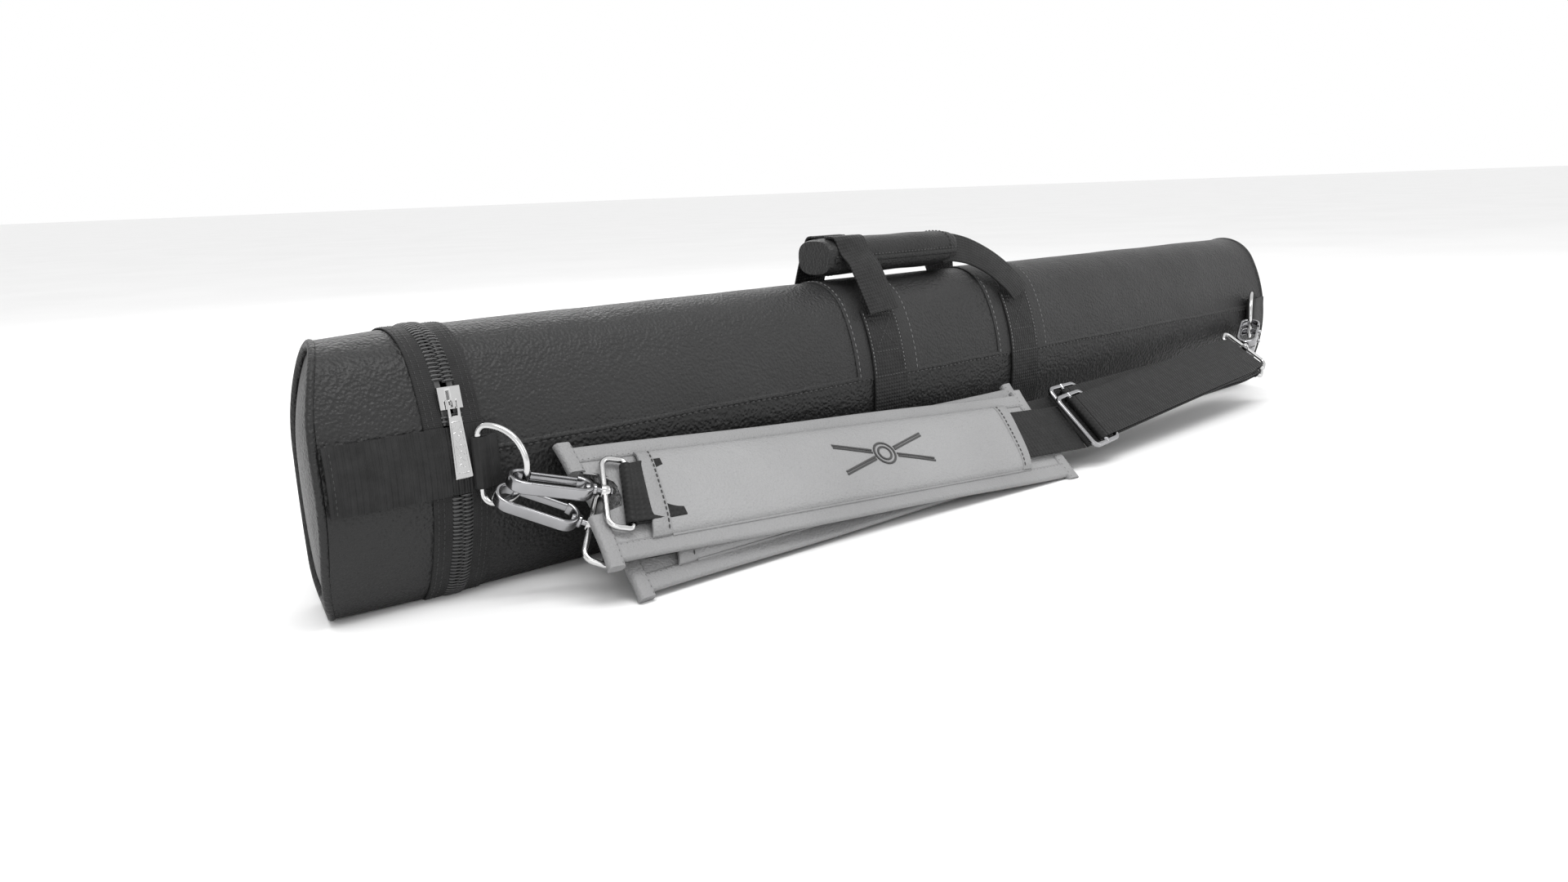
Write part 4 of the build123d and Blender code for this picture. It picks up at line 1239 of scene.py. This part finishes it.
def pad_sleeve(strap, frame3):
    """A soft panel sewn along both sides of the pad and open at its two ends."""
    up, normal = frame3[2:]
    body = f"{strap}_pad"
    v = np.linspace(-1, 1, 33) * SLEEVE_SPAN
    rings = []
    for t in sampled(-HALF_SLEEVE, HALF_SLEEVE, 5.0):
        pinch = 0.5 * max(0.0, (abs(t) / HALF_SLEEVE - 0.9) / 0.1)
        outer = on_sleeve(np.full_like(v, t), v)
        outer[:, 2] -= 0.06 * pinch * (outer[:, 2] - PAD_TOP + 0.3)
        outer[:, 2] += [0.22 * noise.noise(Vector((t / 30.0, across / 18.0, 9.0))) for across in v]
        inner = np.column_stack([outer[:, 0], v * 0.97, np.maximum(outer[:, 2] - 1.3, PAD_TOP - 0.25)])
        rings.append(np.concatenate([outer, inner[::-1]]))
    panel = loft(local(frame3, np.array(rings)))
    nodes = [f"{strap}_strap_sleeve"]
    sleeve = add_piece(f"{strap}_sleeve_panel", [panel], GREY_VINYL, body, nodes)

    stitches = []
    hems = []
    hem_outline = ((0.2, 0.1), (-0.3, 0.6), (-1.0, HEM_LIFT), (-8.6, 0.7), (-9.3, 0.45), (-9.6, 0.0))
    under = (0, 0, 0.9)
    for side in (-1, 1):
        v = np.linspace(-0.985, 0.985, 31) * SLEEVE_SPAN
        rows = [on_sleeve(np.full_like(v, side * (HALF_SLEEVE + t)), v, lift) for t, lift in hem_outline]
        grid = np.array([rows[0] - under] + rows + [rows[-1] - under])
        hems.append(loft(local(frame3, grid), wrap_rings=True, wrap_sides=False, caps=False))
        v = np.linspace(-0.93, 0.93, 40) * SLEEVE_SPAN
        stitches += pad_stitches(frame3, on_sleeve(side * (HALF_SLEEVE - 8.0), v, HEM_LIFT))
    add_piece(f"{strap}_sleeve_hems", hems, TRIM_VINYL, body)
    for side, name in ((-1, "low"), (1, "high")):
        t = sampled(-HALF_SLEEVE + 6, HALF_SLEEVE - 6, 8.0)
        line = local(frame3, places(t, side * SLEEVE_SPAN * 0.985, PAD_TOP + 0.9))
        piping = sweep(line, up, normal, circle_section(0.9, 8))
        add_piece(f"{strap}_sleeve_edge_{name}", [piping], TRIM_VINYL, body)
    return stitches


def sewn_ornament(strap, frame3):
    """A plain ornament: a ball over two crossed sticks."""
    middle_t = 22.0
    turns = (np.linspace(0, 2 * pi, 40), np.linspace(0, 2 * pi, 30))
    lines = [
        on_sleeve(middle_t + radius * np.cos(turn), radius * np.sin(turn), 0.15)
        for radius, turn in zip((7.5, 4.6), turns)
    ]
    for direction in (-1, 1):
        for offset in (-0.9, 0.9):
            for reach in ((-36, -9), (9, 36)):
                x = np.linspace(*reach, 16)
                lines.append(on_sleeve(middle_t + x, direction * x * 0.27 + offset, 0.15))
    parts = []
    for line in lines:
        path = local(frame3, line)
        run_dir = tangents(path)
        sideways = unit(np.cross(frame3[3], run_dir))
        thread_section = circle_section(1.0, 8) * (0.75, 0.45)
        parts.append(sweep(path, sideways, np.cross(run_dir, sideways), thread_section))
    body = f"{strap}_pad"
    add_piece(f"{strap}_sewn_ornament", parts, PAD_THREAD, body, sharp=80)


def pad_pieces(strap, frame3):
    """The padded panel, its bound edges and the sleeve on it."""
    origin, ahead, up = frame3[:3]
    swivel = JOINT[f"{strap}_lid_swivel"]
    from_origin = np.array(swivel["pos_m"]) / MM - origin
    hook_t, hook_v = from_origin @ ahead, from_origin @ up
    hook_dir = unit(swivel["axis"])
    slope = (hook_dir @ up) / (hook_dir @ ahead)

    def hook_line(t, v):
        return hook_t, abs(v - (hook_v + slope * (t - hook_t)))

    pad_core(strap, frame3, hook_line)
    stitches = pad_bindings(strap, frame3, hook_v + slope * (-HALF_PAD + 5 - hook_t))
    stitches += pad_sleeve(strap, frame3)
    add_piece(f"{strap}_pad_stitches", stitches, PAD_THREAD, f"{strap}_pad")


for strap in ("front", "rear"):
    lid_dir = unit(JOINT[f"{strap}_lid_swivel"]["axis"])
    base_dir = unit(JOINT[f"{strap}_base_swivel"]["axis"])
    pad_dir = unit(JOINT[f"{strap}_pad_slide"]["axis"])
    long_dir = unit(JOINT[f"{strap}_glide_slide"]["axis"])
    normal = unit(np.cross(lid_dir, pad_dir))
    if normal[2] < 0:
        normal = -normal
    clip = hook(strap, "lid", normal)
    base_clip = hook(strap, "base", normal)
    lid_across = unit(np.cross(normal, lid_dir))
    base_across = unit(np.cross(normal, -base_dir))
    pad_up = unit(np.cross(normal, pad_dir))
    glide_across = unit(np.cross(normal, long_dir))
    lid_bar = clip + HOOK_REACH * lid_dir
    base_bar = base_clip + HOOK_REACH * base_dir
    run_end = base_bar - normal * BAR_FOLD
    glide_centre = np.mean(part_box(f"{strap}_strap_glide"), axis=0) / MM
    glide_floor = glide_centre - normal * GLIDE_RISE
    bend = glide_floor - long_dir * 17.0
    pad_middle = np.mean(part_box(f"{strap}_strap_pad"), axis=0) / MM
    pad_origin = pad_middle - normal * ((pad_middle - clip) @ normal)

    # webbing that stays with the strap; its end is sewn back over itself past the lid end's eye
    width = STRAP_WIDTH - 1
    runs = [
        fold_round(lid_bar, lid_across, normal, width),
        long_strip(lid_bar + lid_dir * 2.4, bend, normal, width, start_across=lid_across),
        long_strip(
            lid_bar + lid_dir,
            lid_bar + pad_dir * 26,
            normal,
            width - 0.4,
            start_across=lid_across,
            rises=([0, 0.25, 0.6, 1], [2.5, 2.2, 1.6, 1.5]),
            turn_in=20.0,
        ),
        long_strip(bend, run_end, normal, width, end_across=base_across),
        fold_round(base_bar, base_across, normal, width),
    ]
    add_piece(
        f"{strap}_webbing_run",
        [part for part, cloth in runs],
        STRAP_CLOTH,
        f"{strap}_strap",
        [f"{strap}_strap_webbing"],
        cloth=np.concatenate([cloth for part, cloth in runs]),
    )

    # the outer layer, from the slide's bar to the base end's eye
    lifted = [GLIDE_RISE + 2.6, GLIDE_RISE + 2.9, GLIDE_RISE + 2.4]
    lying = [BAR_FOLD * 2 + 1.6, BAR_FOLD * 2 + 0.8, BAR_FOLD * 2]
    runs = [
        long_strip(
            glide_floor + long_dir * 1.5,
            run_end,
            normal,
            width,
            start_across=glide_across,
            end_across=base_across,
            rises=([0, 0.06, 0.14, 0.3, 0.75, 1], lifted + lying),
        ),
        fold_round(glide_centre, glide_across, normal, width),
    ]
    outer = add_piece(
        f"{strap}_webbing_outer",
        [part for part, cloth in runs],
        STRAP_CLOTH,
        None,
        [f"{strap}_strap_tail"],
        cloth=np.concatenate([cloth for part, cloth in runs]),
    )
    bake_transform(outer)

    # three-bar slide
    frame3 = (glide_centre, long_dir, glide_across, normal)
    half = STRAP_WIDTH / 2 + 1.7 + 0.8
    outline = filleted([(-15.3, -half), (15.3, -half), (15.3, half), (-15.3, half)], [4.5] * 4)
    wire = flat_wire(outline, frame3, rounded_box(3.6, 3.2, 1.2, 3), closed=True)
    bar_line = np.array([(0, y) for y in np.linspace(-half - 0.4, half + 0.4, 9)])
    bar = flat_wire(bar_line, frame3, circle_section(EYE_WIRE, 12))
    knob_outline = [(-2.4, 1.0), (-2.0, 2.1), (1.2, 2.1), (1.6, 1.0)]
    knobs = [
        lathe(knob_outline, glide_centre + glide_across * side * half, glide_across * side)
        for side in (-1, 1)
    ]
    add_piece(
        f"{strap}_slide_frame",
        [wire, bar] + knobs,
        NICKEL,
        f"{strap}_glide",
        [f"{strap}_strap_glide"],
    )
    pad_frame = (pad_origin, pad_dir, pad_up, normal)
    pad_pieces(strap, pad_frame)
    if strap == "front":
        sewn_ornament(strap, pad_frame)

# ======================= CAD nodes that stay =======================
KEPT = {
    "case_shell": BOARD,
    "case_lining": LINING,
    "base_cap": BOARD,
    "base_pad": LINING,
    "upper_shelf": LINING,
    "lower_shelf": LINING,
    "butt_divider_upright": LINING,
    "butt_divider_sides": LINING,
    "upper_shaft_dividers": LINING,
    "lower_shaft_dividers": LINING,
    "zip_slider": CHROME,
}
for node, material in KEPT.items():
    mesh = frame["nodes"][node].data
    mesh.materials.clear()
    mesh.materials.append(material)

# ======================= floor, light and camera =======================
FLOOR_HALF = 60.0
LENS = 26.25
SENSOR = 36.0
# the camera's place from the lid end and the case's axis, and its turn as axis times angle
CAMERA_BEFORE_LID = 167.27
CAMERA_FROM_AXIS = 559.68
CAMERA_ABOVE_AXIS = 130.71
CAMERA_TURN = (0.19326, -0.11196, 0.70747)

floor_shader = Shader("pale_floor", (0.86, 0.86, 0.86), 0.85)
floor_shader.colour(floor_shader.noise(3.0, 3.0), (0.85, 0.85, 0.85), (0.88, 0.88, 0.88))
corners = [(x * FLOOR_HALF, y * FLOOR_HALF, 0) for x, y in ((-1, -1), (1, -1), (1, 1), (-1, 1))]
floor_mesh = bpy.data.meshes.new("floor")
floor_mesh.from_pydata(corners, [], [(0, 1, 2, 3)])
floor_mesh.materials.append(floor_shader.material)
floor = bpy.data.objects.new("floor", floor_mesh)
bpy.context.scene.collection.objects.link(floor)

world = bpy.data.worlds.new("studio")
world.use_nodes = True
background = world.node_tree.nodes["Background"]
background.inputs["Color"].default_value = (1, 1, 1, 1)
background.inputs["Strength"].default_value = 1.0
bpy.context.scene.world = world


def softbox(name, place, target, size, power):
    """A rectangular studio light."""
    light = bpy.data.lights.new(name, "AREA")
    light.shape = "RECTANGLE"
    light.size, light.size_y = size
    light.energy = power
    obj = bpy.data.objects.new(name, light)
    obj.location = place
    obj.rotation_euler = (Vector(target) - Vector(place)).to_track_quat("-Z", "Y").to_euler()
    bpy.context.scene.collection.objects.link(obj)


softbox("key", (-0.3, -0.6, 1.7), (0, 0, 0.08), (1.6, 0.6), 22)
softbox("front_fill", (-0.9, -1.8, 0.7), (0, 0, 0.08), (1.4, 0.9), 4)
softbox("right_fill", (1.5, -1.2, 0.9), (0.2, 0, 0.08), (0.8, 0.8), 3)
softbox("back_rim", (0.2, 1.4, 1.1), (0, 0, 0.12), (1.6, 0.5), 9)

camera = bpy.data.cameras.new("camera")
camera.sensor_width = SENSOR
camera.lens = LENS
camera.clip_start = 0.01
view = bpy.data.objects.new("camera", camera)
turn = Vector(CAMERA_TURN)
turned = Matrix.Rotation(turn.length, 3, turn.normalized())
swap = Matrix(((1, 0, 0), (0, 0, -1), (0, 1, 0)))
row_frame = Matrix(((1, 0, 0), (0, -1, 0), (0, 0, -1))) @ (swap @ turned)
place = Vector((CASE_START - CAMERA_BEFORE_LID, -CAMERA_FROM_AXIS, AXIS + CAMERA_ABOVE_AXIS)) * MM
view.matrix_world = Matrix.Translation(place) @ row_frame.transposed().to_4x4()
bpy.context.scene.collection.objects.link(view)
bpy.context.scene.camera = view
bpy.context.scene.view_settings.view_transform = "Standard"
